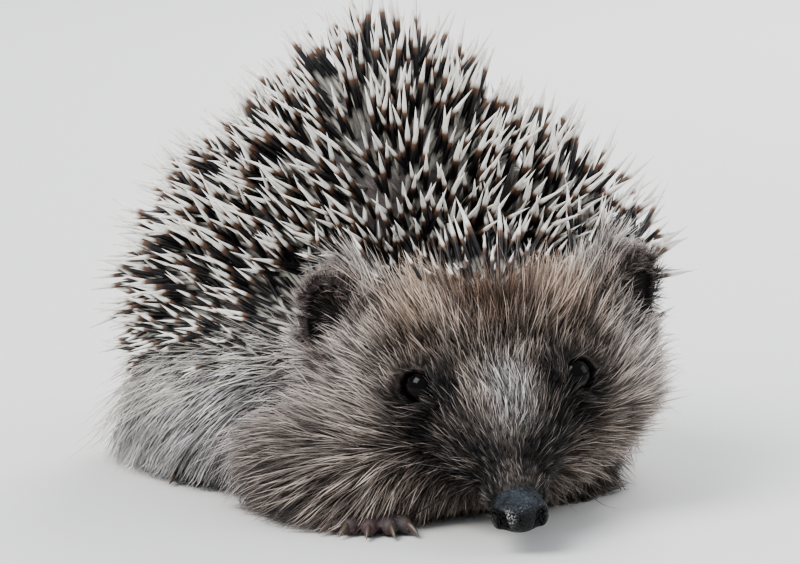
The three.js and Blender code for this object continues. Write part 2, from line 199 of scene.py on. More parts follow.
class Place:
    """A local frame: x to the animal's left, y backwards, z up, turned by yaw, then pitch, then roll."""

    def __init__(self, origin, yaw=0.0, pitch=0.0, roll=0.0):
        turn = Matrix.Rotation(math.radians(-yaw), 3, "Z")
        turn = turn @ Matrix.Rotation(math.radians(pitch), 3, "X")
        turn = turn @ Matrix.Rotation(math.radians(roll), 3, "Y")
        self.origin = np.array(origin, float)
        self.axes = np.array(turn)

    def inside(self, points):
        """Stance points as local ones."""
        return (points - self.origin) @ self.axes

    def outside(self, points):
        """Local points as stance ones."""
        return np.asarray(points, float) @ self.axes.T + self.origin

    def apply(self, field):
        """A local field as a stance one."""
        return lambda points: field(self.inside(points))


def mass(centre, radii, power=2.0):
    """A rounded lump, boxier as power grows."""
    centre = np.array(centre, float)
    radii = np.array(radii, float)

    def field(points):
        share = np.abs((points - centre) / radii)
        norm = np.maximum((share ** power).sum(-1) ** (1 / power), 1e-6)
        slope = np.sqrt(((share ** (power - 1) / radii) ** 2).sum(-1)) * norm ** (1 - power)
        return (norm - 1) / np.maximum(slope, 1e-6)

    return field


def rod(start, end, start_radius, end_radius):
    """A straight limb with round ends that thickens or thins evenly."""
    start = np.array(start, float)
    along = np.array(end, float) - start

    def field(points):
        share = np.clip((points - start) @ along / (along @ along), 0, 1)
        away = np.linalg.norm(points - start - share[..., None] * along, axis=-1)
        return away - start_radius - share * (end_radius - start_radius)

    return field


def melt(softness, first, second):
    """The union of two values with a soft crease."""
    overlap = np.maximum(softness - np.abs(first - second), 0) / softness
    return np.minimum(first, second) - overlap ** 2 * softness / 4


def blended(softness, *fields):
    """Several fields as one with soft creases."""

    def field(points):
        value = fields[0](points)
        for other in fields[1:]:
            value = melt(softness, value, other(points))
        return value

    return field


def step(low, high, value):
    """0 below low and 1 above high, or the other way round, with a smooth rise between."""
    share = np.clip((value - low) / (high - low), 0, 1)
    return share * share * (3 - 2 * share)


def bump(points, centre, radii):
    """1 at a centre, fading smoothly to 0 at the radii."""
    away = np.linalg.norm((points - np.array(centre, float)) / np.array(radii, float), axis=-1)
    return 1 - step(0, 1, away)


HEAD = Place(NOSE_TIP, HEAD_YAW, HEAD_PITCH, HEAD_ROLL)
CHEST = Place(SHOULDER, HEAD_YAW)


def stance_to_frame():
    """The shift from the animal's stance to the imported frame, from where the frame's eyes are."""
    _, back, up = EYE_PLACE
    middle = HEAD.outside([0, back, up])
    boxes = [np.array(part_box("eye_" + name)) for name, _ in SIDES]
    return np.mean([box.mean(0) for box in boxes], axis=0) / MM - middle


SHIFT = stance_to_frame()


def metres(points):
    """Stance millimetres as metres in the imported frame."""
    return (np.asarray(points, float) + SHIFT) * MM


# The coat's outline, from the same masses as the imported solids.
TRUNK_COAT = blended(
    10,
    mass([0.5, 20.5, 29], [41, 38.5, 42]),
    mass([2.5, 5, 39], [30.5, 35, 47.5]),
    CHEST.apply(mass([0, 0, 0], [41, 25, 42])),
    mass([0, 17, 12], [39, 40, 21], 2.4),
    mass([-19, -20, 9], [22, 22, 14], 2.3),
    mass([14, -24, 10], [19, 20, 15], 2.3),
)
CRANIUM = blended(
    11,
    mass([0, 46, 5], [24, 20, 19.5]),
    mass([18, 41, -3], [16.5, 18, 14]),
    mass([-18, 41, -3], [16.5, 18, 14]),
    mass([24, 52, 6], [12, 13, 15]),
    mass([-24, 52, 6], [12, 13, 15]),
    mass([0, 38, -11], [23, 20, 12]),
)
MUZZLE = blended(5, mass([0, 25, 1], [14, 16, 12]), rod([0, 3, -0.4], [0, 19, -0.6], 4.3, 8.6))
HEAD_COAT = HEAD.apply(blended(6, CRANIUM, MUZZLE))
OUTLINE = blended(9, TRUNK_COAT, HEAD_COAT)


def hem_distance(points):
    """How far outside the spiny mantle a point is, in millimetres, and negative under the spines."""
    chest = CHEST.inside(points)
    rise = HEM_RISE * np.exp(np.minimum(0, HEM_NECK - chest[..., 1]) / HEM_FALL)
    flank = HEM_LOW - SHOULDER[2] + rise - chest[..., 2]
    head = HEAD.inside(points)
    beside = 1 - np.exp(-((head[..., 0] / BROW_WIDTH) ** 2))
    brow = BROW_BACK + (BROW_SWEEP + BROW_SLOPE * head[..., 2]) * beside - head[..., 1]
    return np.maximum(flank, brow)


def ear_place(sign):
    """The frame of an ear, whose cup opens towards its own -y."""
    side, back, up = EAR_PLACE
    return Place(HEAD.outside([sign * side, back, up]), HEAD_YAW - sign * EAR_TURN, EAR_TIP)


def eye_distance(head_points):
    """How far a point in the head's frame is from the nearer eye's centre."""
    return np.linalg.norm(folded(head_points) - EYE_PLACE, axis=-1)


def folded(head_points):
    """Points in the head's frame, those of its right side mirrored to the left."""
    both = np.array(head_points)
    both[..., 0] = np.abs(both[..., 0])
    return both


def lie_of_coat(points):
    """Length and lift of the hair, in millimetres and radians, and how far into the mantle a point is."""
    head = HEAD.inside(points)
    from_nose = np.linalg.norm(head, axis=-1)
    length = np.interp(from_nose, [3, 6, 10, 16, 26, 38, 52, 66], [1.8, 2.4, 3.0, 3.9, 6.0, 9.0, 12.0, 15.5])
    lift = np.interp(from_nose, [5, 15, 30, 50, 70], np.radians([34, 21, 22, 25, 25]))
    near_eye = step(2.6, 8.5, eye_distance(head))
    length = length * (0.45 + 0.55 * near_eye)
    under = step(17, 8, points[..., 2]) * step(40, 60, from_nose)
    length = length * (1 - 0.3 * under)
    mantle = step(2, -12, hem_distance(points))
    return length, lift, mantle


def coat_depth(points):
    """How far the skin lies under the outline of the coat."""
    length, lift, mantle = lie_of_coat(points)
    sizes = bpy.context.scene.hedgehog_sizes
    quills = sizes.quill_length / MM * math.sin(sizes.quill_lift) * QUILL_COVER
    hair = length * np.sin(lift) * HAIR_COVER + 0.2
    return hair + (quills - hair) * mantle


def foot_field(foot):
    """One foot: a pad, a heel and five toes, and the leg above it."""
    name, (x, y), turn, length, width = foot
    place = Place((x, y, 0), turn)
    rise = 5 if name.startswith("fore") else 3
    leg = rod([0, 1, 6], [0, rise, 17], 3.0, 6.0)
    sole = blended(
        2,
        mass([0, 0, 1.8], [width / 2 - SOLE_TUCK, length / 2 + 1 - SOLE_TUCK, 3.1]),
        mass([0, length / 4, 3], [width / 2.6 - SOLE_TUCK, length / 4 + 1, 4]),
    )
    fan = [place.apply(rod(*place_toe(foot, i), TOE_BALL, TOE_BALL * 0.82)) for i in range(TOES)]

    def field(points):
        value = melt(3, place.apply(leg)(points), place.apply(sole)(points))
        for toe in fan:
            value = melt(0.8, value, toe(points))
        return value

    return field


def place_toe(foot, index):
    """The two ends of a toe's middle line, in the foot's own frame."""
    _, _, _, length, width = foot
    count = index - (TOES - 1) / 2
    angle = math.radians(count * TOE_FAN)
    heading = np.array([math.sin(angle), -math.cos(angle), 0])
    root = np.array([width * 0.4 * math.sin(angle), -length / 2 + 1, TOE_BALL])
    reach = TOE_LENGTH - abs(count) * 0.5
    return root + [0, 0, 0.5], root + heading * reach


def skin_field(points):
    """The bare animal, lids, ears and toes included."""
    head = HEAD.inside(points)
    jaw = rod([0, 6.6, -4.9], [0, 21, -7.4], 1.8, 4.2)
    snout = mass([0, 4.6, -0.4], [4.7, 3.6, 4.4])
    tail = rod([0, 47, 8.5], [0, 58.5, 5.2], 3.0, 1.2)
    value = OUTLINE(points) + coat_depth(points)
    value = melt(1.2, value, jaw(head))
    value = melt(3, value, snout(head))
    value = melt(4, value, tail(points))
    for foot in FEET:
        value = melt(3, value, foot_field(foot)(points))
    for _, sign in SIDES:
        value = with_ear(value, points, sign)
        value = with_eyelids(value, head, sign)
    return np.maximum(value, SOLE_GAP - points[..., 2])


def with_ear(value, points, sign):
    """The skin with one cupped ear, which stands on a mound of its own."""
    local = ear_place(sign).inside(points)
    mound = mass([0, 5.5, -3], [7, 6, 8.5])
    front = -1.3 - local[..., 1]
    value = melt(6, value, mound(local))
    value = melt(2.2, value, np.maximum(ear_shell(local), front))
    return -melt(0.5, -value, ear_bowl(local))


def ear_shell(local):
    """How far outside an ear's outer surface a point is."""
    return mass([0, 0, 0], EAR_RADII)(local)


def ear_bowl(local):
    """How far outside an ear's hollow a point is."""
    rx, ry, rz = EAR_RADII
    return mass([0, -EAR_WALL * 1.7, -0.3], [rx - EAR_WALL, ry, rz - EAR_WALL])(local)


def eye_axes(sign):
    """An eye's centre, and its slit, outward and upward directions, in the head's frame."""
    out = unit(np.array(EYE_LOOK) * [sign, 1, 1])
    slit = unit(np.cross([0, 0, 1], out))
    up = np.cross(out, slit)
    slant = math.radians(EYE_SLANT) * sign
    cos, sin = math.cos(slant), math.sin(slant)
    centre = np.array(EYE_PLACE, float) * [sign, 1, 1] + out * EYE_BULGE
    return centre, slit * cos + up * sin, out, up * cos - slit * sin


def with_eyelids(value, head, sign):
    """The skin with a lidded socket round one eye."""
    centre, slit, out, up = eye_axes(sign)
    local = np.stack([(head - centre) @ axis for axis in (slit, out, up)], axis=-1)
    radius = bpy.context.scene.hedgehog_sizes.eye_radius / MM
    lids = mass([0, -EYE_BULGE, 0], [radius + LID] * 3)
    opening = mass([0, radius * 1.15, 0], [radius * 1.26, radius * 1.5, radius * 1.16])
    ball = np.linalg.norm(local, axis=-1) - radius - SOCKET_GAP
    value = melt(4.0, value, lids(local))
    value = -melt(0.3, -value, opening(local))
    return np.maximum(value, -ball)


# ---- Meshes from fields ----

CELL_CORNERS = [(i, j, k) for i in (0, 1) for j in (0, 1) for k in (0, 1)]


def net_from(field, xs, ys, zs):
    """Surface nets: the vertices and quads of a field's zero surface on a graded grid."""
    corners = np.stack(np.meshgrid(xs, ys, zs, indexing="ij"), axis=-1)
    # The field is asked for one slab after another, to keep its working memory small.
    slabs = np.array_split(corners, 24)
    values = np.concatenate([field(slab) for slab in slabs])
    inner = values < 0
    nx, ny, nz = shape = tuple(n - 1 for n in values.shape)
    count = sum(inner[i:i + nx, j:j + ny, k:k + nz].astype(int) for i, j, k in CELL_CORNERS)
    cells = np.argwhere((count > 0) & (count < len(CELL_CORNERS)))
    number = np.full(shape, -1)
    number[tuple(cells.T)] = np.arange(len(cells))
    return net_points(corners, values, cells), net_quads(inner, number)


def net_points(corners, values, cells):
    """For each cell the mean of the points where the surface crosses its edges."""
    total = np.zeros((len(cells), 3))
    crossings = np.zeros(len(cells))
    for start in CELL_CORNERS:
        for axis in range(3):
            if start[axis]:
                continue
            end = list(start)
            end[axis] = 1
            first, second = tuple((cells + start).T), tuple((cells + end).T)
            a, b = values[first], values[second]
            crossed = (a < 0) != (b < 0)
            share = np.where(crossed, a / np.where(crossed, a - b, 1), 0)[:, None]
            between = corners[first] * (1 - share) + corners[second] * share
            total += np.where(crossed[:, None], between, 0)
            crossings += crossed
    return total / crossings[:, None]


def net_quads(inner, number):
    """A quad round each grid edge that the surface crosses, of the numbered cells, facing outwards."""
    quads = []
    for axis in range(3):
        u, v = (axis + 1) % 3, (axis + 2) % 3
        ahead = np.take(inner, range(1, inner.shape[axis]), axis)
        behind = np.take(inner, range(inner.shape[axis] - 1), axis)
        edges = np.argwhere(ahead != behind)
        inside_grid = np.all([(edges[:, w] > 0) & (edges[:, w] < number.shape[w]) for w in (u, v)], axis=0)
        edges = edges[inside_grid]
        ring = []
        for du, dv in ((-1, -1), (0, -1), (0, 0), (-1, 0)):
            cell = edges.copy()
            cell[:, u] += du
            cell[:, v] += dv
            ring.append(number[tuple(cell.T)])
        ring = np.stack(ring, axis=-1)
        outward = behind[tuple(edges.T)]
        quads.append(np.where(outward[:, None], ring, ring[:, ::-1]))
    return np.concatenate(quads)


def slope_of(field, points, reach=0.05):
    """The field's gradient by differences."""
    columns = []
    for axis in range(3):
        nudge = np.zeros(3)
        nudge[axis] = reach
        columns.append((field(points + nudge) - field(points - nudge)) / (2 * reach))
    return np.stack(columns, axis=-1)


def settle(field, points, rounds=2, most=0.5):
    """The points moved onto the field's surface."""
    for _ in range(rounds):
        slope = slope_of(field, points)
        size = np.maximum((slope ** 2).sum(-1), 0.05)
        move = -slope * (field(points) / size)[:, None]
        far = np.maximum(np.linalg.norm(move, axis=-1) / most, 1)
        points = points + move / far[:, None]
    return points


def graded(*stops):
    """Grid lines between stops, each given as (place, step from there on)."""
    lines = []
    for (start, stride), (end, _) in zip(stops, stops[1:]):
        lines.append(np.linspace(start, end, max(round((end - start) / stride), 1), endpoint=False))
    lines.append([stops[-1][0]])
    return np.concatenate(lines)


def mesh_from(name, points, faces):
    """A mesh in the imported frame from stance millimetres."""
    mesh = bpy.data.meshes.new(name)
    mesh.from_pydata(metres(points).tolist(), [], faces.tolist())
    mesh.update()
    return mesh


def points_of(mesh):
    """A mesh's vertices as stance millimetres."""
    flat = np.empty(len(mesh.vertices) * 3)
    mesh.vertices.foreach_get("co", flat)
    return flat.reshape(-1, 3) / MM - SHIFT


def put_points(mesh, points):
    """Stance millimetres written back to a mesh."""
    mesh.vertices.foreach_set("co", metres(points).ravel())
    mesh.update()


def store(mesh, name, values):
    """A float or vector for each vertex."""
    kind = "FLOAT_VECTOR" if values.ndim == 2 else "FLOAT"
    field = "vector" if values.ndim == 2 else "value"
    attribute = mesh.attributes.new(name, kind, "POINT")
    attribute.data.foreach_set(field, np.ascontiguousarray(values, dtype=np.float32).ravel())


def piece_from(name, mesh, material):
    """A finished object from a mesh."""
    piece = bpy.data.objects.new(name, mesh)
    bpy.context.scene.collection.objects.link(piece)
    mesh.materials.clear()
    mesh.materials.append(material)
    return piece


def hand_over(piece, slot, *nodes):
    """The piece rides on the animal and stands for the named nodes, which it hides. The slot is not used."""
    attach(piece, "root")
    if nodes:
        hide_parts(*nodes)


def refine(mesh, near):
    """More faces wherever near(points) holds."""
    shape = bmesh.new()
    shape.from_mesh(mesh)
    chosen = near(points_of(mesh))
    edges = [e for e in shape.edges if chosen[e.verts[0].index] and chosen[e.verts[1].index]]
    bmesh.ops.subdivide_edges(shape, edges=edges, cuts=1, use_grid_fill=True)
    bmesh.ops.triangulate(shape, faces=[f for f in shape.faces if len(f.verts) > 4])
    shape.to_mesh(mesh)
    shape.free()


# ---- Nodes ----


def add(tree, kind, inputs=None, stops=(), **settings):
    """A node with its settings, its inputs given as values, or as the sockets or nodes that feed them."""
    node = tree.nodes.new(kind)
    for name, value in settings.items():
        setattr(node, name, value)
    for name, value in (inputs or {}).items():
        socket = node.inputs[name] if isinstance(name, int) else in_use(node.inputs, name)
        if isinstance(value, bpy.types.Node):
            value = in_use(value.outputs)
        if isinstance(value, bpy.types.NodeSocket):
            tree.links.new(value, socket)
        else:
            socket.default_value = value
    for place, _ in stops[1:-1]:
        node.color_ramp.elements.new(place)
    for element, (place, colour) in zip(node.color_ramp.elements if stops else (), stops):
        element.position = place
        element.color = rgba(colour)
    return node


def in_use(sockets, name=None):
    """The first socket that the node's settings leave in use, of that name if one is given."""
    return next(socket for socket in sockets if socket.enabled and name in (None, socket.name))


def rgba(colour):
    """A colour with full opacity."""
    return (*colour, 1.0)


def material_of(name, surface_of):
    """The material of that name, made once. surface_of(tree) adds nodes and returns its surface's inputs."""
    material = bpy.data.materials.get(name)
    if material:
        return material
    material = bpy.data.materials.new(name)
    material.use_nodes = True
    tree = material.node_tree
    tree.nodes.clear()
    surface = add(tree, "ShaderNodeBsdfPrincipled", surface_of(tree))
    add(tree, "ShaderNodeOutputMaterial", {"Surface": surface})
    return material


def coat_colour(tree, darkness=1.0):
    """The animal's markings, with the painted shade among them, alike on skin and hair. The dark mask is taken
    times the darkness.
    """
    colours = bpy.context.scene.hedgehog_colours
    value = rgba(colours.hair)
    for mark, colour in (
        ("warm", colours.hair_warm),
        ("pale", colours.hair_pale),
        ("rust", colours.hair_rust),
        ("dark", colours.hair_dark),
        ("umber", colours.hair_umber),
    ):
        share = add(tree, "ShaderNodeAttribute", attribute_name=mark).outputs["Fac"]
        if mark == "dark":
            share = add(tree, "ShaderNodeMath", {0: share, 1: darkness}, operation="MULTIPLY")
        value = add(tree, "ShaderNodeMix", {"Factor": share, "A": value, "B": rgba(colour)}, data_type="RGBA")
    return value


def hair_surface(tree):
    """Hedgehog hair: coarse, straight keratin, bleached at the tip, uneven in tone, with painted shade
    darkening it towards the root.
    """
    along, tint, shade = (
        add(tree, "ShaderNodeAttribute", attribute_name=name).outputs["Fac"]
        for name in ("along", "tint", "shade"))
    # From root to tip the hair's colour is taken times these: painted shade at the root, deep in the coat, up
    # to the bleached tip.
    lengthwise = add(tree, "ShaderNodeValToRGB", {"Fac": along}, stops=(
        (0.0, (0.12, 0.11, 0.10)),
        (0.3, (0.42, 0.40, 0.38)),
        (0.6, (0.95, 0.93, 0.90)),
        (1.0, (1.5, 1.48, 1.45)),
    ))
    # The palest hairs stand out of the dark mask and its painted shade.
    masked = add(tree, "ShaderNodeMapRange", {
        "Value": tint, "From Min": 0.7, "From Max": 1.0, "To Min": 1.0, "To Max": 0.5})
    marked = coat_colour(tree, masked)
    rooted = add(tree, "ShaderNodeMix", {"Factor": 1.0, "A": marked, "B": lengthwise},
                 data_type="RGBA", blend_type="MULTIPLY")
    strand = add(tree, "ShaderNodeMapRange", {"Value": tint, "To Min": 0.3, "To Max": 1.85})
    lock = add(tree, "ShaderNodeMapRange", {"Value": shade, "To Min": 0.65, "To Max": 1.3})
    each = add(tree, "ShaderNodeMath", {0: strand, 1: lock}, operation="MULTIPLY")
    # Grizzled tufts, 5 mm from one to the next.
    place = add(tree, "ShaderNodeTexCoord").outputs["Object"]
    tuft = add(tree, "ShaderNodeTexNoise", {"Vector": place, "Scale": 1 / (5 * MM), "Detail": 2.0})
    grizzle = add(tree, "ShaderNodeMapRange", {
        "Value": tuft, "From Min": 0.3, "From Max": 0.7, "To Min": 0.72, "To Max": 1.25})
    tone = add(tree, "ShaderNodeMath", {0: each, 1: grizzle}, operation="MULTIPLY")
    colour = add(tree, "ShaderNodeHueSaturation", {"Color": rooted, "Value": tone})
    return {"Base Color": colour, "Roughness": 0.5, "IOR": 1.55, "Specular IOR Level": 0.35}


def guard_surface(tree):
    """Guard hair: stiff, nearly unpigmented keratin, so it is off-white with a slight gloss."""
    colours = bpy.context.scene.hedgehog_colours
    along, shade = (
        add(tree, "ShaderNodeAttribute", attribute_name=name).outputs["Fac"] for name in ("along", "shade"))
    bleached = add(tree, "ShaderNodeValToRGB", {"Fac": along}, stops=(
        (0.0, colours.hair_umber),
        (0.3, colours.hair),
        (0.55, colours.guard),
        (1.0, colours.guard),
    ))
    each = add(tree, "ShaderNodeMapRange", {"Value": shade, "To Min": 0.65, "To Max": 1.05})
    colour = add(tree, "ShaderNodeHueSaturation", {"Color": bleached, "Value": each})
    return {"Base Color": colour, "Roughness": 0.42, "IOR": 1.55, "Specular IOR Level": 0.45}


def whisker_surface(tree):
    """Whiskers: stiff, smooth, brown black keratin that pales towards the fine tip."""
    colours = bpy.context.scene.hedgehog_colours
    along = add(tree, "ShaderNodeAttribute", attribute_name="along").outputs["Fac"]
    colour = add(tree, "ShaderNodeValToRGB", {"Fac": along}, stops=(
        (0.0, colours.hair_dark),
        (0.6, colours.hair_dark),
        (1.0, colours.hair),
    ))
    return {"Base Color": colour, "Roughness": 0.35, "IOR": 1.55}


def quill_surface(tree):
    """A hedgehog spine: smooth, hollow, polished keratin with a dark band and a white point."""
    colours = bpy.context.scene.hedgehog_colours
    along, shade = (
        add(tree, "ShaderNodeAttribute", attribute_name=name).outputs["Fac"] for name in ("along", "shade"))
    wander_of_band = add(tree, "ShaderNodeMapRange", {"Value": shade, "To Min": -0.05, "To Max": 0.05})
    height = add(tree, "ShaderNodeMath", {0: along, 1: wander_of_band}, operation="ADD")
    bands = add(tree, "ShaderNodeValToRGB", {"Fac": height}, stops=(
        (0.0, colours.quill_base),
        (0.28, colours.quill_base),
        (0.38, colours.quill_band),
        (0.60, colours.quill_band),
        (0.685, colours.quill_ring),
        (0.745, colours.quill_tip),
        (1.0, colours.quill_tip),
    ))
    each = add(tree, "ShaderNodeMapRange", {"Value": shade, "To Min": 0.84, "To Max": 1.06})
    colour = add(tree, "ShaderNodeHueSaturation", {"Color": bands, "Value": each})
    # Streaks just under a millimetre apart roughen the horn a little.
    place = add(tree, "ShaderNodeTexCoord").outputs["Object"]
    streak = add(tree, "ShaderNodeTexNoise", {"Vector": place, "Scale": 1 / (0.9 * MM), "Detail": 3.0})
    relief = add(tree, "ShaderNodeBump", {"Height": streak, "Strength": 0.2, "Distance": 0.08 * MM})
    gloss = add(tree, "ShaderNodeMapRange", {"Value": streak, "To Min": 0.26, "To Max": 0.48})
    return {
        "Base Color": colour, "Roughness": gloss, "IOR": 1.55, "Specular IOR Level": 0.45, "Normal": relief}


# Painted shade: the skin under the coat is darkened to a small share of the hair's colour, for the shadow deep
# in the coat.
UNDER_COAT_SHADE = (0.16, 0.14, 0.13)   # how much of the hair's colour the skin under it keeps


def skin_surface(tree):
    """Thin, dry, finely creased mammal skin, with painted shade under the coat, in the hollows of the ears and
    at the rims of the eye sockets.
    """
    colours = bpy.context.scene.hedgehog_colours
    bare, deep = (
        add(tree, "ShaderNodeAttribute", attribute_name=name).outputs["Fac"] for name in ("bare", "deep"))
    shaded_under_coat = add(tree, "ShaderNodeMix", {"Factor": 1.0, "A": coat_colour(tree), "B": rgba(UNDER_COAT_SHADE)},
               data_type="RGBA", blend_type="MULTIPLY")
    shown = add(tree, "ShaderNodeMix", {"Factor": bare, "A": shaded_under_coat, "B": rgba(colours.skin)}, data_type="RGBA")
    # Painted shade in the ear hollows and round the eyeballs.
    hollow = add(tree, "ShaderNodeMix", {"Factor": deep, "A": shown, "B": rgba(colours.hollow_shade)},
                 data_type="RGBA")
    # Blotches of 3.5 mm, and creases just over half a millimetre apart.
    place = add(tree, "ShaderNodeTexCoord").outputs["Object"]
    blotch = add(tree, "ShaderNodeTexNoise", {"Vector": place, "Scale": 1 / (3.5 * MM), "Detail": 4.0})
    colour = add(tree, "ShaderNodeMix", {"Factor": 0.35, "A": hollow, "B": blotch.outputs["Color"]},
                 data_type="RGBA", blend_type="OVERLAY")
    crease = add(tree, "ShaderNodeTexVoronoi", {"Vector": place, "Scale": 1 / (0.55 * MM)}, feature="F1")
    relief = add(tree, "ShaderNodeBump", {"Height": crease, "Strength": 0.35, "Distance": 0.15 * MM})
    return {"Base Color": colour, "Roughness": 0.6, "IOR": 1.4, "Normal": relief}


def nose_surface(tree):
    """Nose leather: hairless skin in small pebbles, black and wet in front, blue grey and dusty on top, with a
    painted glint on one nostril's wing.
    """
    colours = bpy.context.scene.hedgehog_colours
    top, deep, wing = (
        add(tree, "ShaderNodeAttribute", attribute_name=name).outputs["Fac"]
        for name in ("top", "deep", "wing"))
    place = add(tree, "ShaderNodeTexCoord").outputs["Object"]
    # The dust lies in patches of 1.3 mm.
    dust = add(tree, "ShaderNodeTexNoise", {"Vector": place, "Scale": 1 / (1.3 * MM), "Detail": 5.0})
    patchy = add(tree, "ShaderNodeMapRange", {
        "Value": dust, "From Min": 0.35, "From Max": 0.65, "To Min": 0.35, "To Max": 1.0})
    dry = add(tree, "ShaderNodeMath", {0: top, 1: patchy}, operation="MULTIPLY")
    dusty = add(tree, "ShaderNodeMix", {
        "Factor": dry, "A": rgba(colours.leather), "B": rgba(colours.leather_top)}, data_type="RGBA")
    # A painted glint, in grains a third of a millimetre across, lies on the wing of one nostril.
    grain = add(tree, "ShaderNodeTexNoise", {"Vector": place, "Scale": 1 / (0.35 * MM), "Detail": 2.0})
    grainy = add(tree, "ShaderNodeMapRange", {"Value": grain, "From Min": 0.45, "From Max": 0.62})
    paled = add(tree, "ShaderNodeMath", {0: wing, 1: grainy}, operation="MULTIPLY")
    glinted = add(tree, "ShaderNodeMix", {"Factor": paled, "A": dusty, "B": rgba(colours.painted_nose_glint)},
                 data_type="RGBA")
    # Painted shade inside the nostrils.
    colour = add(tree, "ShaderNodeMix", {"Factor": deep, "A": glinted, "B": rgba(colours.nostril)},
                 data_type="RGBA")
    # The pebbles are half a millimetre across.
    pebble = add(tree, "ShaderNodeTexVoronoi", {"Vector": place, "Scale": 1 / (0.5 * MM)}, feature="F1")
    relief = add(tree, "ShaderNodeBump", {"Height": pebble, "Strength": 1.0, "Distance": 0.4 * MM},
                 invert=True)
    gloss = add(tree, "ShaderNodeMapRange", {"Value": dry, "To Min": 0.2, "To Max": 0.42})
    return {"Base Color": colour, "Roughness": gloss, "IOR": 1.4, "Specular IOR Level": 0.4, "Normal": relief}


def eye_surface(tree):
    """A wet black eye: dark iris and pupil behind a clear, glassy cornea."""
    eye = bpy.context.scene.hedgehog_colours.eye
    return {"Base Color": rgba(eye), "Roughness": 0.05, "IOR": 1.34, "Specular IOR Level": 0.3}


def claw_surface(tree):
    """Claw horn: brown keratin, worn paler to the point, with grain half a millimetre apart."""
    colours = bpy.context.scene.hedgehog_colours
    along = add(tree, "ShaderNodeAttribute", attribute_name="along").outputs["Fac"]
    place = add(tree, "ShaderNodeTexCoord").outputs["Object"]
    grain = add(tree, "ShaderNodeTexNoise", {"Vector": place, "Scale": 1 / (0.5 * MM), "Detail": 3.0})
    paled = add(tree, "ShaderNodeMix", {
        "Factor": along, "A": rgba(colours.claw), "B": rgba(colours.claw_point)}, data_type="RGBA")
    colour = add(tree, "ShaderNodeMix", {"Factor": 0.3, "A": paled, "B": grain.outputs["Color"]},
                 data_type="RGBA", blend_type="OVERLAY")
    return {"Base Color": colour, "Roughness": 0.38, "IOR": 1.54}


# ---- What grows on the skin ----

NOMINAL = 10 * MM                 # length of the hairs that the locks are drawn with
LOCK_SHAPES = 6                   # different locks that a growth picks from
PATCH = 0.003                     # side of a lock's patch, as a share of the map
GROWTH_INPUTS = (
    ("Skin", "NodeSocketGeometry"),
    ("Locks", "NodeSocketCollection"),
    ("Mask", "NodeSocketString"),
    ("Spacing", "NodeSocketFloat"),
    ("Length", "NodeSocketFloat"),
    ("Nominal", "NodeSocketFloat"),
    ("Splay", "NodeSocketVector"),
    ("Curl", "NodeSocketFloat"),
    ("Droop", "NodeSocketFloat"),
    ("Seed", "NodeSocketInt"),
    ("Material", "NodeSocketMaterial"),
)


def growth_tree():
    """Locks on the skin's points, along the lie of the coat, bent down by their weight."""
    tree = bpy.data.node_groups.new("coat growth", "GeometryNodeTree")
    for name, kind in GROWTH_INPUTS:
        tree.interface.new_socket(name, in_out="INPUT", socket_type=kind)
    tree.interface.new_socket("Coat", in_out="OUTPUT", socket_type="NodeSocketGeometry")
    given = add(tree, "NodeGroupInput").outputs
    roots = scatter_roots(tree, given)
    locks = plant_locks(tree, given, roots)
    bent = bend_locks(tree, given, locks)
    mapped = map_locks(tree, bent)
    coat = add(tree, "GeometryNodeSetMaterial", {"Geometry": mapped, "Material": given["Material"]})
    add(tree, "NodeGroupOutput", {"Coat": coat})
    return tree


def drawn(tree, given, order, low, high, kind="FLOAT"):
    """A random value for each root, between low and high, drawn apart from those with another order."""
    seed = add(tree, "ShaderNodeMath", {0: given["Seed"], 1: order}, operation="ADD")
    return add(tree, "FunctionNodeRandomValue", {"Min": low, "Max": high, "Seed": seed}, data_type=kind)


def scatter_roots(tree, given):
    """Points on the skin, as dense as the mask says, which know their place on its map, shade and length."""
    area = add(tree, "ShaderNodeMath", {0: given["Spacing"], 1: given["Spacing"]}, operation="MULTIPLY")
    crowd = add(tree, "ShaderNodeMath", {0: 3.0, 1: area}, operation="DIVIDE")
    mask = add(tree, "GeometryNodeInputNamedAttribute", {"Name": given["Mask"]}, data_type="FLOAT")
    scatter = add(tree, "GeometryNodeDistributePointsOnFaces", {
        "Mesh": given["Skin"], "Distance Min": given["Spacing"], "Density Max": crowd,
        "Density Factor": mask, "Seed": given["Seed"]}, distribute_method="POISSON")
    on_map = add(tree, "GeometryNodeInputNamedAttribute", {"Name": "OFBake"}, data_type="FLOAT_VECTOR")
    placed = add(tree, "GeometryNodeStoreNamedAttribute", {
        "Geometry": scatter, "Name": "root_place", "Value": on_map}, data_type="FLOAT_VECTOR")
    freed = add(tree, "GeometryNodeRemoveAttribute", {"Geometry": placed, "Name": "OFBake"})
    shaded = add(tree, "GeometryNodeStoreNamedAttribute", {
        "Geometry": freed, "Name": "shade", "Value": drawn(tree, given, 1, 0.0, 1.0)}, data_type="FLOAT")
    length = add(tree, "GeometryNodeInputNamedAttribute", {"Name": "length"}, data_type="FLOAT")
    scaled = add(tree, "ShaderNodeMath", {0: length, 1: given["Length"]}, operation="MULTIPLY")
    uneven = drawn(tree, given, 2, 0.74, 1.16)
    own_length = add(tree, "ShaderNodeMath", {0: scaled, 1: uneven}, operation="MULTIPLY")
    return add(tree, "GeometryNodeStoreNamedAttribute", {
        "Geometry": shaded, "Name": "own_length", "Value": own_length}, data_type="FLOAT")


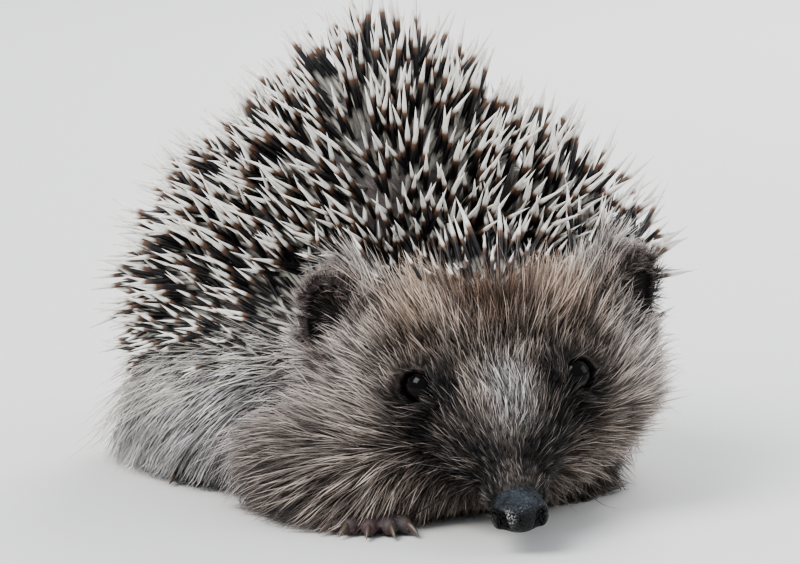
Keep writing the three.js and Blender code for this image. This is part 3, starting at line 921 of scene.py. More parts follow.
def plant_locks(tree, given, roots):
    """A lock on each root, turned along the lie of the coat, splayed a little and stretched to its length."""
    aim, rise = (
        add(tree, "GeometryNodeInputNamedAttribute", {"Name": name}, data_type="FLOAT_VECTOR")
        for name in ("aim", "rise"))
    turn = add(tree, "FunctionNodeAxesToRotation", {"Primary Axis": aim, "Secondary Axis": rise},
               primary_axis="Y", secondary_axis="Z")
    back = add(tree, "ShaderNodeVectorMath", {0: given["Splay"], "Scale": -1.0}, operation="SCALE")
    splayed = drawn(tree, given, 3, back, given["Splay"], "FLOAT_VECTOR")
    twist = add(tree, "FunctionNodeEulerToRotation", {"Euler": splayed})
    turned = add(tree, "FunctionNodeRotateRotation", {"Rotation": turn, "Rotate By": twist},
                 rotation_space="LOCAL")
    own_length = add(tree, "GeometryNodeInputNamedAttribute", {"Name": "own_length"}, data_type="FLOAT")
    stretch = add(tree, "ShaderNodeMath", {0: own_length, 1: given["Nominal"]}, operation="DIVIDE")
    eased = add(tree, "ShaderNodeMath", {0: stretch, 1: 0.5}, operation="POWER")
    uneven = drawn(tree, given, 4, 0.85, 1.15)
    girth = add(tree, "ShaderNodeMath", {0: eased, 1: uneven}, operation="MULTIPLY")
    size = add(tree, "ShaderNodeCombineXYZ", {"X": girth, "Y": stretch, "Z": girth})
    locks = add(tree, "GeometryNodeCollectionInfo", {
        "Collection": given["Locks"], "Separate Children": True, "Reset Children": True})
    # The pick wraps round, so a wide range serves any number of locks.
    pick = drawn(tree, given, 5, 0, 1000, "INT")
    planted = add(tree, "GeometryNodeInstanceOnPoints", {
        "Points": roots, "Instance": locks, "Pick Instance": True, "Instance Index": pick,
        "Rotation": turned, "Scale": size})
    return add(tree, "GeometryNodeRealizeInstances", {"Geometry": planted})


def bend_locks(tree, given, locks):
    """Locks that curl back to the skin and droop towards their points, and lie on the ground they reach."""
    along, own_length, shade = (
        add(tree, "GeometryNodeInputNamedAttribute", {"Name": name}, data_type="FLOAT")
        for name in ("along", "own_length", "shade"))
    rise = add(tree, "GeometryNodeInputNamedAttribute", {"Name": "rise"}, data_type="FLOAT_VECTOR")
    share = add(tree, "ShaderNodeMath", {0: along, 1: 2.0}, operation="POWER")
    reach = add(tree, "ShaderNodeMath", {0: share, 1: own_length}, operation="MULTIPLY")
    curl = add(tree, "ShaderNodeMath", {0: reach, 1: given["Curl"]}, operation="MULTIPLY")
    inwards = add(tree, "ShaderNodeMath", {0: curl, 1: -1.0}, operation="MULTIPLY")
    curled = add(tree, "ShaderNodeVectorMath", {0: rise, "Scale": inwards}, operation="SCALE")
    droop = add(tree, "ShaderNodeMath", {0: reach, 1: given["Droop"]}, operation="MULTIPLY")
    fallen = add(tree, "ShaderNodeVectorMath", {0: (0, 0, -1), "Scale": droop}, operation="SCALE")
    offset = add(tree, "ShaderNodeVectorMath", {0: curled, 1: fallen}, operation="ADD")
    bent = add(tree, "GeometryNodeSetPosition", {"Geometry": locks, "Offset": offset})
    # Hair that meets the ground lies in a layer less than half a millimetre high.
    place = add(tree, "GeometryNodeInputPosition")
    parts = add(tree, "ShaderNodeSeparateXYZ", {"Vector": place}).outputs
    lowest = add(tree, "ShaderNodeMath", {0: shade, 1: 0.4 * MM}, operation="MULTIPLY")
    height = add(tree, "ShaderNodeMath", {0: parts["Z"], 1: lowest}, operation="MAXIMUM")
    lifted = add(tree, "ShaderNodeCombineXYZ", {"X": parts["X"], "Y": parts["Y"], "Z": height})
    return add(tree, "GeometryNodeSetPosition", {"Geometry": bent, "Position": lifted})


def map_locks(tree, locks):
    """Locks with a map of their own: each has a small patch at its root's place on the skin's map."""
    root, patch = (
        add(tree, "GeometryNodeInputNamedAttribute", {"Name": name}, data_type="FLOAT_VECTOR")
        for name in ("root_place", "patch"))
    cell = add(tree, "ShaderNodeVectorMath", {0: root, 1: (PATCH, PATCH, PATCH)}, operation="SNAP")
    within = add(tree, "ShaderNodeVectorMath", {0: patch, "Scale": PATCH}, operation="SCALE")
    on_map = add(tree, "ShaderNodeVectorMath", {0: cell, 1: within}, operation="ADD")
    return add(tree, "GeometryNodeStoreNamedAttribute", {
        "Geometry": locks, "Name": "OFBake", "Value": on_map}, data_type="FLOAT2", domain="CORNER")


def lock_mesh(name, strands, sides):
    """A lock of strands, each a list of rings (x, y, z, radius), the last ring being its point."""
    points, faces, along, patches, tints = [], [], [], [], []
    angles = [2 * math.pi * i / sides for i in range(sides)]
    for tint, rings in strands:
        base = len(points)
        foot = rings[0][1]
        longest = rings[-1][1] - foot
        for x, y, z, radius in rings[:-1]:
            points += [(x + radius * math.cos(angle), y, z + radius * math.sin(angle)) for angle in angles]
            along += [(y - foot) / longest] * sides
        points.append(rings[-1][:3])
        along.append(1.0)
        tints += [tint] * (len(points) - base)
        for ring in range(len(rings) - 2):
            low = base + ring * sides
            high = low + sides
            for i in range(sides):
                j = (i + 1) % sides
                faces.append((low + j, low + i, high + i, high + j))
                row = [along[low], along[low], along[high], along[high]]
                patches += patch_corners([i + 1, i, i, i + 1], row, sides)
        last = base + (len(rings) - 2) * sides
        for i in range(sides):
            faces.append((last + (i + 1) % sides, last + i, len(points) - 1))
            patches += patch_corners([i + 1, i, i + 0.5], [along[last], along[last], 1.0], sides)
        faces.append(tuple(base + i for i in range(sides)))
        patches += [(0.5 + 0.4 * math.cos(angle), 0.03 + 0.03 * math.sin(angle), 0) for angle in angles]
    mesh = bpy.data.meshes.new(name)
    mesh.from_pydata(points, [], faces)
    mesh.shade_smooth()
    store(mesh, "along", np.array(along))
    store(mesh, "tint", np.array(tints))
    patch = mesh.attributes.new("patch", "FLOAT_VECTOR", "CORNER")
    patch.data.foreach_set("vector", np.array(patches, np.float32).ravel())
    return mesh


def patch_corners(columns, rows, sides):
    """Where a face's corners lie on the lock's own patch, across and along it."""
    return [(0.04 + 0.92 * column / sides, 0.07 + 0.9 * row, 0) for column, row in zip(columns, rows)]


def locks_collection(name, meshes):
    """The shapes that a growth picks from, out of sight of the finished scene."""
    collection = bpy.data.collections.new(name)
    bpy.context.scene.collection.children.link(collection)
    for mesh in meshes:
        collection.objects.link(bpy.data.objects.new(mesh.name, mesh))
    return collection


def clear_locks(collection):
    """Takes the picked-from shapes out of the scene."""
    for thing in list(collection.objects):
        bpy.data.objects.remove(thing)
    bpy.data.collections.remove(collection)


def hair_locks(name, seed, width, strands=4, rings=3, gap=0.38 * MM, spread=0.075, tints=(0, 1)):
    """A few different locks of straight, tapering hairs, NOMINAL long."""
    rng = np.random.default_rng(seed)
    meshes = []
    for lock in range(LOCK_SHAPES):
        made = []
        for _ in range(strands):
            x, z = rng.normal(0, gap, 2)
            lean_x, lean_z = rng.normal(0, spread, 2)
            length = NOMINAL * rng.uniform(0.72, 1.08)
            start = NOMINAL * rng.uniform(-0.06, 0.0)
            curve = rng.normal(0, spread * 0.5)
            row = []
            for share in np.linspace(0, 1, rings):
                side = x + lean_x * length * share + curve * length * share ** 2
                radius = width / 2 * (1 - share ** 2.2) * (0.75 + 0.6 * share)
                row.append((side, start + length * share, z + lean_z * length * share, radius))
            made.append((rng.uniform(*tints), row))
        meshes.append(lock_mesh(f"{name}_{lock}", made, 3))
    return locks_collection(name, meshes)


def quill_locks(name, seed, nominal, width):
    """Spines, a little bent, with a thin root, a stout shaft of even width and a sharp wedge of a point."""
    rng = np.random.default_rng(seed)
    profile = ((0, 0.4), (0.1, 0.7), (0.35, 1.0), (0.64, 1.0), (0.74, 0.88), (0.88, 0.44), (1, 0))
    meshes = []
    for index in range(LOCK_SHAPES):
        bend = rng.normal(0, 0.03) * nominal
        row = [(bend * share ** 2, nominal * share, 0, width / 2 * girth) for share, girth in profile]
        meshes.append(lock_mesh(f"{name}_{index}", [(0.5, row)], 5))
    return locks_collection(name, meshes)


def grow(name, slot, mask, locks, material, **inputs):
    """One piece of coat: the locks grown on the skin where the mask says, as plain mesh, handed over."""
    skin = bpy.data.objects["skin"]
    tree = bpy.data.node_groups.get("coat growth") or growth_tree()
    carrier = bpy.data.objects.new(name + "_carrier", skin.data)
    bpy.context.scene.collection.objects.link(carrier)
    modifier = carrier.modifiers.new("growth", "NODES")
    modifier.node_group = tree
    identifiers = {
        item.name: item.identifier
        for item in tree.interface.items_tree
        if item.item_type == "SOCKET" and item.in_out == "INPUT"
    }
    given = {
        "Locks": locks, "Mask": mask, "Material": material, "Nominal": NOMINAL, "Length": 1.0,
        "Curl": 0.0, "Droop": 0.0, **inputs}
    for label, value in given.items():
        modifier[identifiers[label]] = value
    evaluated = carrier.evaluated_get(bpy.context.evaluated_depsgraph_get())
    mesh = bpy.data.meshes.new_from_object(evaluated)
    mesh.name = name
    bpy.data.objects.remove(carrier)
    for unused in ("root_place", "patch", "aim", "rise", "length", "own_length"):
        if unused in mesh.attributes:
            mesh.attributes.remove(mesh.attributes[unused])
    mesh.shade_smooth()
    hand_over(piece_from(name, mesh, material), slot)


# ---- Masks and the lie of the coat, stored on the skin ----

EAR_HAIR = 4.4                    # length of the hair on the ears
TAIL_HAIR = 1.8
LEG_HAIR_LIFT = 14                # how far hair stands off the legs
HEM_QUILL_LIFT = 30               # how far spines stand off the skin at the hem


def regions(points):
    """Where each point lies in the body, which the masks, the lengths and the directions are made from."""
    head = HEAD.inside(points)
    both = folded(head)
    z = points[:, 2]
    over_ear = bump(both, [22, 49, 20], [13, 11, 12])
    hem = hem_distance(points) + wander(points, 8, 5)[:, 0] * 2.2 + over_ear * 6
    feet = np.min([foot_field(foot)(points) for foot in FEET], axis=0)
    ears, in_ear, by_ear = ear_masks(points)
    return SimpleNamespace(
        head=head,
        both=both,
        z=z,
        from_nose=np.linalg.norm(head, axis=-1),
        hem=hem,
        full_grown=step(-1, -14, hem),
        beside=step(8, 20, np.abs(head[:, 0])),
        feet=feet,
        low=step(1.6, 0.4, feet) * step(13, 9, z),
        tail=step(46, 49, points[:, 1]) * step(14, 11, z),
        ears=ears,
        in_ear=in_ear,
        by_ear=by_ear,
        over_ear=over_ear,
    )


def markings(mesh, points, at):
    """Stores the masks that colour the skin and the coat."""
    bridge = bump(at.head, [1.2, 18, 9.5], [7.2, 13.5, 12])
    crown = bump(at.both, [6, 39, 20], [22, 11, 14])
    brow = bump(at.both, [14, 33, 15], [10, 10, 12]) * 0.4
    shoulder = bump(points, [38, -16, 10], [18, 26, 24])
    flank = step(50, 66, at.from_nose)
    edge = step(9, 1, hem_distance(points)) * flank
    low = np.maximum(step(26, 8, at.z), shoulder) * flank
    store(mesh, "dark", dark_mask(at, bridge))
    store(mesh, "rust", np.clip(bump(at.both, [0, 36, 20], [10.5, 12, 15]) * 1.7, 0, 1) * 0.85)
    store(mesh, "pale", pale_mask(points, at, bridge, shoulder))
    store(mesh, "warm", np.clip(brow + low * 0.45 + edge * 0.35 + crown * 0.5, 0, 0.9))
    store(mesh, "umber", umber_mask(points, at))


def dark_mask(at, bridge):
    """The brown black round the eyes, on the lips and the muzzle's tip, and painted shade low on the throat
    and flanks, near the ground.
    """
    _, back, up = at.both.T
    eye = bump(at.both, [12.5, 25.5, 5.5], [9, 12, 9]) * 1.9
    stripe = 1 - step(0, 6, rod([11, 24, 4], [6.5, 9, 1], 3.6, 3.0)(at.both))
    lip = step(31, 15, at.from_nose) * step(6, -3, up)
    tip = step(21, 11, at.from_nose)
    # Painted shade on the hair low on the throat and flanks, where it nears the ground.
    low_shade = step(24, 5, at.z) * step(26, 40, at.from_nose) * (0.8 - 0.3 * step(60, 80, at.from_nose))
    dark = eye + stripe * 0.8 + tip * 0.4 + lip * 0.55 + low_shade
    dark = np.clip(dark, 0, 1) * (1 - 0.85 * bridge * step(8, 15, back))
    return np.minimum(dark, 0.95)


def pale_mask(points, at, bridge, shoulder):
    """The light grey of the muzzle's bridge, the cheeks and the flanks, less on the left shoulder."""
    cheek = bump(at.both, [27, 35, 2], [15, 20, 18])
    patchy = 0.85 + 0.12 * wander(points, 16, 9)[:, 0]
    flank = step(44, 68, at.from_nose) * patchy * (1 - 0.6 * shoulder)
    return np.clip(bridge * 0.7 + cheek * 0.3 + flank, 0, 0.9)


def umber_mask(points, at):
    """The dark brown of the ears, the temples and the tufts in front of the ears, and painted shade on the
    right cheek.
    """
    temple = bump(at.both, [21, 48, 20], [11, 9, 10])
    tuft = bump(at.both, [29.5, 39, 4], [6, 8, 10])
    # Painted shade: the right cheek is darkened, as if it were lit less than the left.
    right_cheek_shade = bump(at.head, [-28, 30, 4], [11, 13, 12])
    ears = [step(3.0, 0.4, ear_shell(ear_place(sign).inside(points))) * 0.7 for _, sign in SIDES]
    return np.maximum.reduce([*ears, temple * 0.7, tuft * 0.9, right_cheek_shade * 0.5])


def growth_masks(mesh, at, normals):
    """Stores where each kind of hair and the spines grow, where the skin is bare, and where painted shade
    darkens its hollows.
    """
    eye = eye_distance(at.head)
    # Nothing grows on the lids, in the hollows of the ears or under the nose pad.
    pad = step(7.5, 6.5, at.from_nose) * step(2.6, 1.6, at.head[:, 1])
    bald = np.maximum.reduce([step(3.6, 3.3, eye), at.in_ear, pad])
    belly = step(-0.35, -0.75, normals[:, 2]) * step(48, 58, at.from_nose) * (1 - at.low)
    hairy = (1 - bald) * (1 - at.low) * (1 - at.tail) * (1 - at.ears)
    # The face's hair runs on a little way under the spines, less far beside the forehead.
    under_spines = step(-9 + 5 * at.beside, -3 + 2 * at.beside, at.hem)
    store(mesh, "face", hairy * under_spines * step(60, 52, at.from_nose) * (1 - belly))
    store(mesh, "flank", hairy * step(-4.0, 0.5, at.hem) * step(52, 60, at.from_nose) * (1 - belly))
    store(mesh, "belly", belly * (1 - bald))
    # The spines thin out at the hem, and none stand in front of the ears.
    sparse = (0.65 + 0.35 * step(0, -6, at.hem)) * (1 - bump(at.both, [31, 50, 3], [9, 10, 12]))
    store(mesh, "quilled", step(1.5, -2.0, at.hem) * sparse * (1 - at.ears) * (1 - at.low) * (1 - at.tail))
    on_legs = at.low * step(0.5, 0.9, at.z) * np.interp(at.z, [3, 7], [0.4, 1])
    store(mesh, "legs", np.clip(on_legs + at.tail * 0.8, 0, 1))
    store(mesh, "ear_rims", at.ears * (1 - 0.92 * at.in_ear))
    # The long pale hairs stand along the hem and round the ears, but not in the brown tufts.
    hem_band = step(-8, -1, at.hem) * step(8, 3, at.hem) * at.beside
    ruff = np.maximum(0.5 * bump(at.both, [29, 42, 2], [13, 17, 21]), 0.8 * at.over_ear)
    ruff = ruff * (1 - bump(at.both, [30, 39, 4], [7, 11, 10]))
    store(mesh, "hem_band", np.maximum(hem_band, ruff) * (1 - at.ears) * (1 - at.low) * (1 - at.tail))
    store(mesh, "whiskered", bump(at.both, [6.5, 12, -1.5], [5, 6, 4]))
    store(mesh, "bare", np.maximum(at.low, at.tail))
    # Painted shade in the ear hollows and on the lids' edges round the eyeballs.
    store(mesh, "deep", np.clip(at.in_ear * 0.8 + step(3.8, 3.2, eye) * 0.9, 0, 1))


def growth_lengths(mesh, points, at):
    """Stores how long the hair and the spines are."""
    length, _, _ = lie_of_coat(points)
    length = np.where(at.low > 0.5, np.interp(at.z, [2, 6, 10], [0.9, 1.8, 4.5]), length)
    length = length * (1 - 0.45 * at.beside * step(7, -2, at.hem)) * (1 - 0.42 * at.by_ear)
    length = length + 3.0 * beard(at.head)
    over_foot = step(10, 3, at.feet) * step(22, 17, at.z) * (1 - at.low)
    length = length + 3.5 * over_foot
    length = np.where(at.ears > 0.5, EAR_HAIR, length)
    length = np.where(at.tail > 0.5, TAIL_HAIR, length)
    quill_length = bpy.context.scene.hedgehog_sizes.quill_length
    store(mesh, "length", length * MM)
    store(mesh, "quill_length", quill_length * (0.64 + 0.36 * at.full_grown))


def growth_directions(mesh, points, normals, at):
    """Stores which way the hair and the spines point."""
    _, lift, _ = lie_of_coat(points)
    lift = lift * (1 - at.low) + np.radians(LEG_HAIR_LIFT) * at.low
    hem_lift = np.radians(HEM_QUILL_LIFT)
    quill_lift = hem_lift + (bpy.context.scene.hedgehog_sizes.quill_lift - hem_lift) * at.full_grown
    flow = lie_of_hair(points, normals, at)
    quill_flow = tangent(flow + wander(points, 15, 7) * 0.2, normals)
    store(mesh, "aim", lean(flow, normals, lift))
    store(mesh, "quill_aim", lean(quill_flow, normals, quill_lift))
    store(mesh, "rise", normals)


def lean(flow, normals, lift):
    """Directions that follow the flow and stand off the skin by the lift."""
    return flow * np.cos(lift)[:, None] + normals * np.sin(lift)[:, None]


def unit(vectors):
    """The vectors at length 1."""
    return vectors / np.maximum(np.linalg.norm(vectors, axis=-1, keepdims=True), 1e-6)


def tangent(vectors, normals):
    """The vectors laid flat on the skin, at length 1."""
    return unit(vectors - normals * (vectors * normals).sum(-1, keepdims=True))


def wander(points, size, seed):
    """Smooth random vectors, about 1 long, which turn over some size millimetres."""
    rng = np.random.default_rng(seed)
    total = np.zeros(points.shape)
    waves = 8
    for _ in range(waves):
        wave = unit(rng.normal(0, 1, 3)) * rng.uniform(0.7, 1.4) * 2 * math.pi / size
        total += rng.normal(0, 1, 3) * np.sin(points @ wave + rng.uniform(0, 2 * math.pi))[..., None]
    return total * math.sqrt(2 / (3 * waves))


def beard(head):
    """Where the hair hangs down from the lips and the lower jaw."""
    return bump(folded(head), [6, 12, -6], [9, 11, 7])


def ear_masks(points):
    """Where the ears are, where they are hollow, and how close to an ear the rest is."""
    ears, in_ear, by_ear = np.zeros((3, len(points)))
    for _, sign in SIDES:
        local = ear_place(sign).inside(points)
        shell = ear_shell(local)
        near = step(1.6, 0.5, shell)
        ears = np.maximum(ears, near)
        in_ear = np.maximum(in_ear, near * step(0.5, -0.3, ear_bowl(local)))
        by_ear = np.maximum(by_ear, step(14, 3, shell) * step(1, -3, local[:, 1]))
    return ears, in_ear, by_ear


def lie_of_hair(points, normals, at):
    """The way that the hair and the spines run: from the nose over the head, then back and down."""
    body = step(36, 60, at.from_nose)[:, None]
    off_muzzle = unit(points - HEAD.outside([0, 8, -6]))
    off_tip = unit(points - HEAD.outside([0, -3, -1]))
    flow = off_tip * (1 - body) + off_muzzle * body
    rump = step(2, 45, points[:, 1])[:, None]
    flow = flow + np.array([0, 0.3, -0.9]) * rump
    sag = step(40, 12, at.z) * step(34, 62, at.from_nose) * 0.9
    over_foot = step(16, 5, at.feet) * step(22, 9, at.z) * 0.9
    down = np.maximum.reduce([sag, over_foot, beard(at.head)])[:, None]
    flow = flow + np.array([0, 0, -1.0]) * down
    flow = flow + wander(points, 9, 3) * 0.13
    for _, sign in SIDES:
        from_eye = at.head - eye_axes(sign)[0]
        parted = step(5.6, 3.2, np.linalg.norm(from_eye, axis=-1))[:, None]
        flow = flow + unit(from_eye) @ HEAD.axes.T * parted * 1.1
    on_leg = at.low[:, None]
    flow = flow * (1 - on_leg) + np.array([0, -0.7, -0.7]) * on_leg
    for _, sign in SIDES:
        place = ear_place(sign)
        local = place.inside(points)
        over_rim = (local * [0.8, 0, 0.9] + [0, -2.5, 2.0]) @ place.axes.T
        share = step(1.6, 0.5, ear_shell(local))[:, None]
        flow = flow * (1 - share) + unit(over_rim) * share
    return tangent(flow, normals)


# ---- Pieces ----


def unwrap(piece):
    """Gives the skin its own map, in islands cut where it turns."""
    bpy.context.view_layer.objects.active = piece
    piece.data.uv_layers.new(name="OFBake")
    bpy.ops.object.select_all(action="DESELECT")
    piece.select_set(True)
    bpy.ops.object.mode_set(mode="EDIT")
    bpy.ops.mesh.select_all(action="SELECT")
    bpy.ops.uv.smart_project(angle_limit=math.radians(66), island_margin=0.004)
    bpy.ops.object.mode_set(mode="OBJECT")


def near_eyes(points):
    """Where the lids need the finest faces."""
    return eye_distance(HEAD.inside(points)) < 4.6


def near_detail(points):
    """Where the lids and the ears need finer faces."""
    near = eye_distance(HEAD.inside(points)) < 6
    for _, sign in SIDES:
        near |= ear_shell(ear_place(sign).inside(points)) < 1.2
    return near


class HEDGEHOG_OT_skin(bpy.types.Operator):
    """Makes the skin: one closed surface under the coat, with lids, ears, lips and toes"""

    bl_idname = "hedgehog.skin"
    bl_label = "Skin"

    def execute(self, context):
        # The grid is finest, 0.7 to 0.8 mm, over the head and the feet.
        xs = graded((-46, 0.8), (46, 1))
        ys = graded((-70, 0.8), (-10, 1.9), (62, 1))
        zs = graded((-1.2, 0.7), (10, 0.8), (56, 1.9), (84, 1))
        points, faces = net_from(skin_field, xs, ys, zs)
        mesh = mesh_from("skin", points, faces)
        for near in (near_detail, near_eyes):
            put_points(mesh, settle(skin_field, points_of(mesh)))
            refine(mesh, near)
        points = settle(skin_field, points_of(mesh), 3)
        put_points(mesh, points)
        mesh.shade_smooth()
        normals = unit(slope_of(skin_field, points, 0.3))
        at = regions(points)
        markings(mesh, points, at)
        growth_masks(mesh, at, normals)
        growth_lengths(mesh, points, at)
        growth_directions(mesh, points, normals, at)
        piece = piece_from("skin", mesh, material_of("creased mammal skin", skin_surface))
        unwrap(piece)
        flesh = [name for name in frame["nodes"] if not name.startswith("eye") and name != "nose"]
        hand_over(piece, "skin", *sorted(flesh))
        return {"FINISHED"}


class HEDGEHOG_OT_eyes(bpy.types.Operator):
    """Makes both eyeballs"""

    bl_idname = "hedgehog.eyes"
    bl_label = "Eyes"

    def execute(self, context):
        material = material_of("wet cornea", eye_surface)
        for name, sign in SIDES:
            shape = bmesh.new()
            bmesh.ops.create_icosphere(shape, subdivisions=5, radius=context.scene.hedgehog_sizes.eye_radius)
            mesh = bpy.data.meshes.new("eye_ball_" + name)
            shape.to_mesh(mesh)
            shape.free()
            centre = metres(HEAD.outside(eye_axes(sign)[0]))
            mesh.transform(Matrix.Translation(Vector(centre)))
            mesh.shade_smooth()
            hand_over(piece_from("eye_ball_" + name, mesh, material), "eye", "eye_" + name)
        return {"FINISHED"}


def nose_field(points):
    """The nose pad: a granular cushion, two comma nostrils under their wings and a groove between them."""
    local = folded(HEAD.inside(points))
    rx, ry, rz = NOSE_RADII
    cushion = mass([0, 0, 0], [rx * 0.94, ry, rz], 2.2)
    stem = mass([0, 3.0, -0.4], [4.0, 3.4, 3.7])
    wing = mass([3.8, -0.6, -0.3], [1.3, 2.0, 2.3])
    groove = rod([0, -ry - 0.25, -rz * 1.1], [0, -ry - 0.1, rz * 0.3], 0.42, 0.25)
    value = melt(1.5, cushion(local), stem(local))
    value = melt(1.4, value, wing(local))
    value = -melt(0.6, -value, nostril_field(local))
    return -melt(0.7, -value, groove(local))


def nostril_field(local):
    """How far a point, folded to the left, is from the nostril's comma-shaped hollow."""
    hole = rod([3.5, -2.35, 1.2], [3.1, -2.75, -1.3], 0.6, 1.0)(local)
    return np.minimum(hole, rod([3.5, -2.2, 1.2], [4.8, -0.9, 1.5], 0.5, 0.3)(local))


class HEDGEHOG_OT_nose(bpy.types.Operator):
    """Makes the nose pad with its nostrils"""

    bl_idname = "hedgehog.nose"
    bl_label = "Nose"

    def execute(self, context):
        spans = [np.arange(middle - 8.5, middle + 9.5, 0.22) for middle in NOSE_TIP]
        points, faces = net_from(nose_field, *spans)
        points = settle(nose_field, points, 2, 0.15)
        mesh = mesh_from("nose_pad", points, faces)
        head = HEAD.inside(points)
        local = folded(head)
        store(mesh, "top", step(0.6, 2.8, local[:, 2] + 0.3 * local[:, 1]))
        # Painted shade inside the nostrils.
        store(mesh, "deep", step(0.5, 0.0, nostril_field(local)))
        # Where the painted glint lies, on the wing of the right nostril.
        store(mesh, "wing", bump(head, [-2.2, -3.0, 1.2], [1.7, 2.4, 2.6]))
        mesh.shade_smooth()
        hand_over(piece_from("nose_pad", mesh, material_of("wet nose leather", nose_surface)), "nose", "nose")
        return {"FINISHED"}


def claw_rings(foot, index, length):
    """The middle line and thickness of a claw that curves down to the ground from a toe's end."""
    _, (x, y), turn, _, _ = foot
    ahead, above = 0.6, 0.15        # where it leaves the toe's end
    drop = 1.35                     # from there to its point
    stout = 0.85                    # its radius at the root
    root, end = place_toe(foot, index)
    heading = (end - root) * [1, 1, 0]
    heading /= np.linalg.norm(heading)
    place = Place((x, y, 0), turn)
    rings = []
    for share in np.linspace(0, 1, 8):
        reach = ahead + length * share * (1 - 0.12 * share)
        centre = end + heading * reach + [0, 0, above - drop * share ** 1.8]
        rings.append((place.outside(centre), stout * (1 - share ** 1.6) + 0.03))
    return rings, heading @ place.axes.T


def claw_shell(rings, heading, base):
    """One claw's points, faces and shares of its length, its points counted from base."""
    sides = 10
    narrow = 0.72
    across = np.cross(heading, [0, 0, 1])
    points, faces, along = [], [], []
    for number, (centre, radius) in enumerate(rings):
        for i in range(sides):
            angle = 2 * math.pi * i / sides
            out = across * math.cos(angle) * narrow + np.array([0, 0, 1]) * math.sin(angle)
            points.append(centre + out * radius)
            along.append(number / (len(rings) - 1))
    for ring in range(len(rings) - 1):
        low = base + ring * sides
        high = low + sides
        for i in range(sides):
            j = (i + 1) % sides
            faces.append((low + i, low + j, high + j, high + i))
    top = base + (len(rings) - 1) * sides
    faces.append(tuple(base + i for i in range(sides))[::-1])
    faces.append(tuple(top + i for i in range(sides)))
    return points, faces, along


class HEDGEHOG_OT_claws(bpy.types.Operator):
    """Makes the twenty claws"""

    bl_idname = "hedgehog.claws"
    bl_label = "Claws"

    def execute(self, context):
        length = context.scene.hedgehog_sizes.claw_length / MM
        points, faces, along = [], [], []
        for foot in FEET:
            for index in range(TOES):
                shell = claw_shell(*claw_rings(foot, index, length), len(points))
                for whole, part in zip((points, faces, along), shell):
                    whole.extend(part)
        mesh = bpy.data.meshes.new("claws")
        mesh.from_pydata(metres(points).tolist(), [], faces)
        mesh.update()
        store(mesh, "along", np.array(along))
        mesh.shade_smooth()
        shape = bmesh.new()
        shape.from_mesh(mesh)
        bmesh.ops.recalc_face_normals(shape, faces=shape.faces)
        shape.to_mesh(mesh)
        shape.free()
        hand_over(piece_from("claws", mesh, material_of("claw horn", claw_surface)), "claw")
        return {"FINISHED"}


def splay(*degrees):
    """How far a lock may turn about its own three axes."""
    return tuple(math.radians(a) for a in degrees)


def swap(*pairs):
    """Exchanges the names of the skin's attributes, so that the same growth can follow either."""
    attributes = bpy.data.objects["skin"].data.attributes
    for first, second in pairs:
        attributes[first].name = "held"
        attributes[second].name = first
        attributes["held"].name = second


class HEDGEHOG_OT_quills(bpy.types.Operator):
    """Grows the spines on the mantle"""

    bl_idname = "hedgehog.quills"
    bl_label = "Spines"

    def execute(self, context):
        sizes = context.scene.hedgehog_sizes
        horn = material_of("polished keratin spine", quill_surface)
        locks = quill_locks("spine", 5, sizes.quill_length, sizes.quill_width)
        swap(("aim", "quill_aim"), ("length", "quill_length"))
        grow("spines", "quill", "quilled", locks, horn, Seed=11, Spacing=sizes.quill_spacing,
             Nominal=sizes.quill_length, Splay=splay(16, 180, 22))
        swap(("aim", "quill_aim"), ("length", "quill_length"))
        clear_locks(locks)
        return {"FINISHED"}


def grow_hair(name, mask, seed, lock, **inputs):
    """One piece of hair from locks of its own, which are made as lock says."""
    locks = hair_locks(name + "_lock", seed, **lock)
    hair = material_of("coarse keratin hair", hair_surface)
    grow(name, "hair", mask, locks, hair, Seed=seed + 10, **inputs)
    clear_locks(locks)


class HEDGEHOG_OT_face_hair(bpy.types.Operator):
    """Grows the face's dense, dark undercoat, the hair over it, and scattered long pale hairs"""

    bl_idname = "hedgehog.face_hair"
    bl_label = "Face hair"

    def execute(self, context):
        sizes = context.scene.hedgehog_sizes
        thin, space = sizes.hair_width, sizes.face_spacing
        grow_hair("face_undercoat", "face", 21, {"width": thin, "strands": 9, "rings": 2, "tints": (0, 0.45)},
                  Spacing=space, Length=0.85, Curl=0.1, Droop=0.04, Splay=splay(8, 20, 12))
        grow_hair("face_hair", "face", 22, {"width": thin, "strands": 4, "rings": 3, "tints": (0.15, 0.8)},
                  Spacing=space, Length=1.0, Curl=0.1, Droop=0.04, Splay=splay(8, 20, 12))
        guard = {"width": thin * 1.2, "strands": 2, "rings": 4, "tints": (0.8, 1.0)}
        grow_hair("face_guard_hair", "face", 23, guard,
                  Spacing=space * 1.5, Length=1.4, Curl=0.1, Droop=0.04, Splay=splay(11, 20, 16))
        return {"FINISHED"}


class HEDGEHOG_OT_flank_hair(bpy.types.Operator):
    """Grows the long hair of the flanks and the paler hairs that stand out from it"""

    bl_idname = "hedgehog.flank_hair"
    bl_label = "Flank hair"

    def execute(self, context):
        sizes = context.scene.hedgehog_sizes
        thin, space = sizes.hair_width, sizes.flank_spacing
        hair = {"width": thin * 1.1, "strands": 5, "rings": 4, "spread": 0.1, "tints": (0.05, 0.8)}
        guard = {"width": thin * 1.3, "strands": 2, "rings": 4, "spread": 0.1, "tints": (0.8, 1.0)}
        grow_hair("flank_hair", "flank", 41, hair,
                  Spacing=space, Length=1.0, Curl=0.28, Droop=0.26, Splay=splay(7, 25, 13))
        grow_hair("flank_guard_hair", "flank", 42, guard,
                  Spacing=space * 1.2, Length=1.1, Curl=0.28, Droop=0.26, Splay=splay(7, 25, 15))
        return {"FINISHED"}


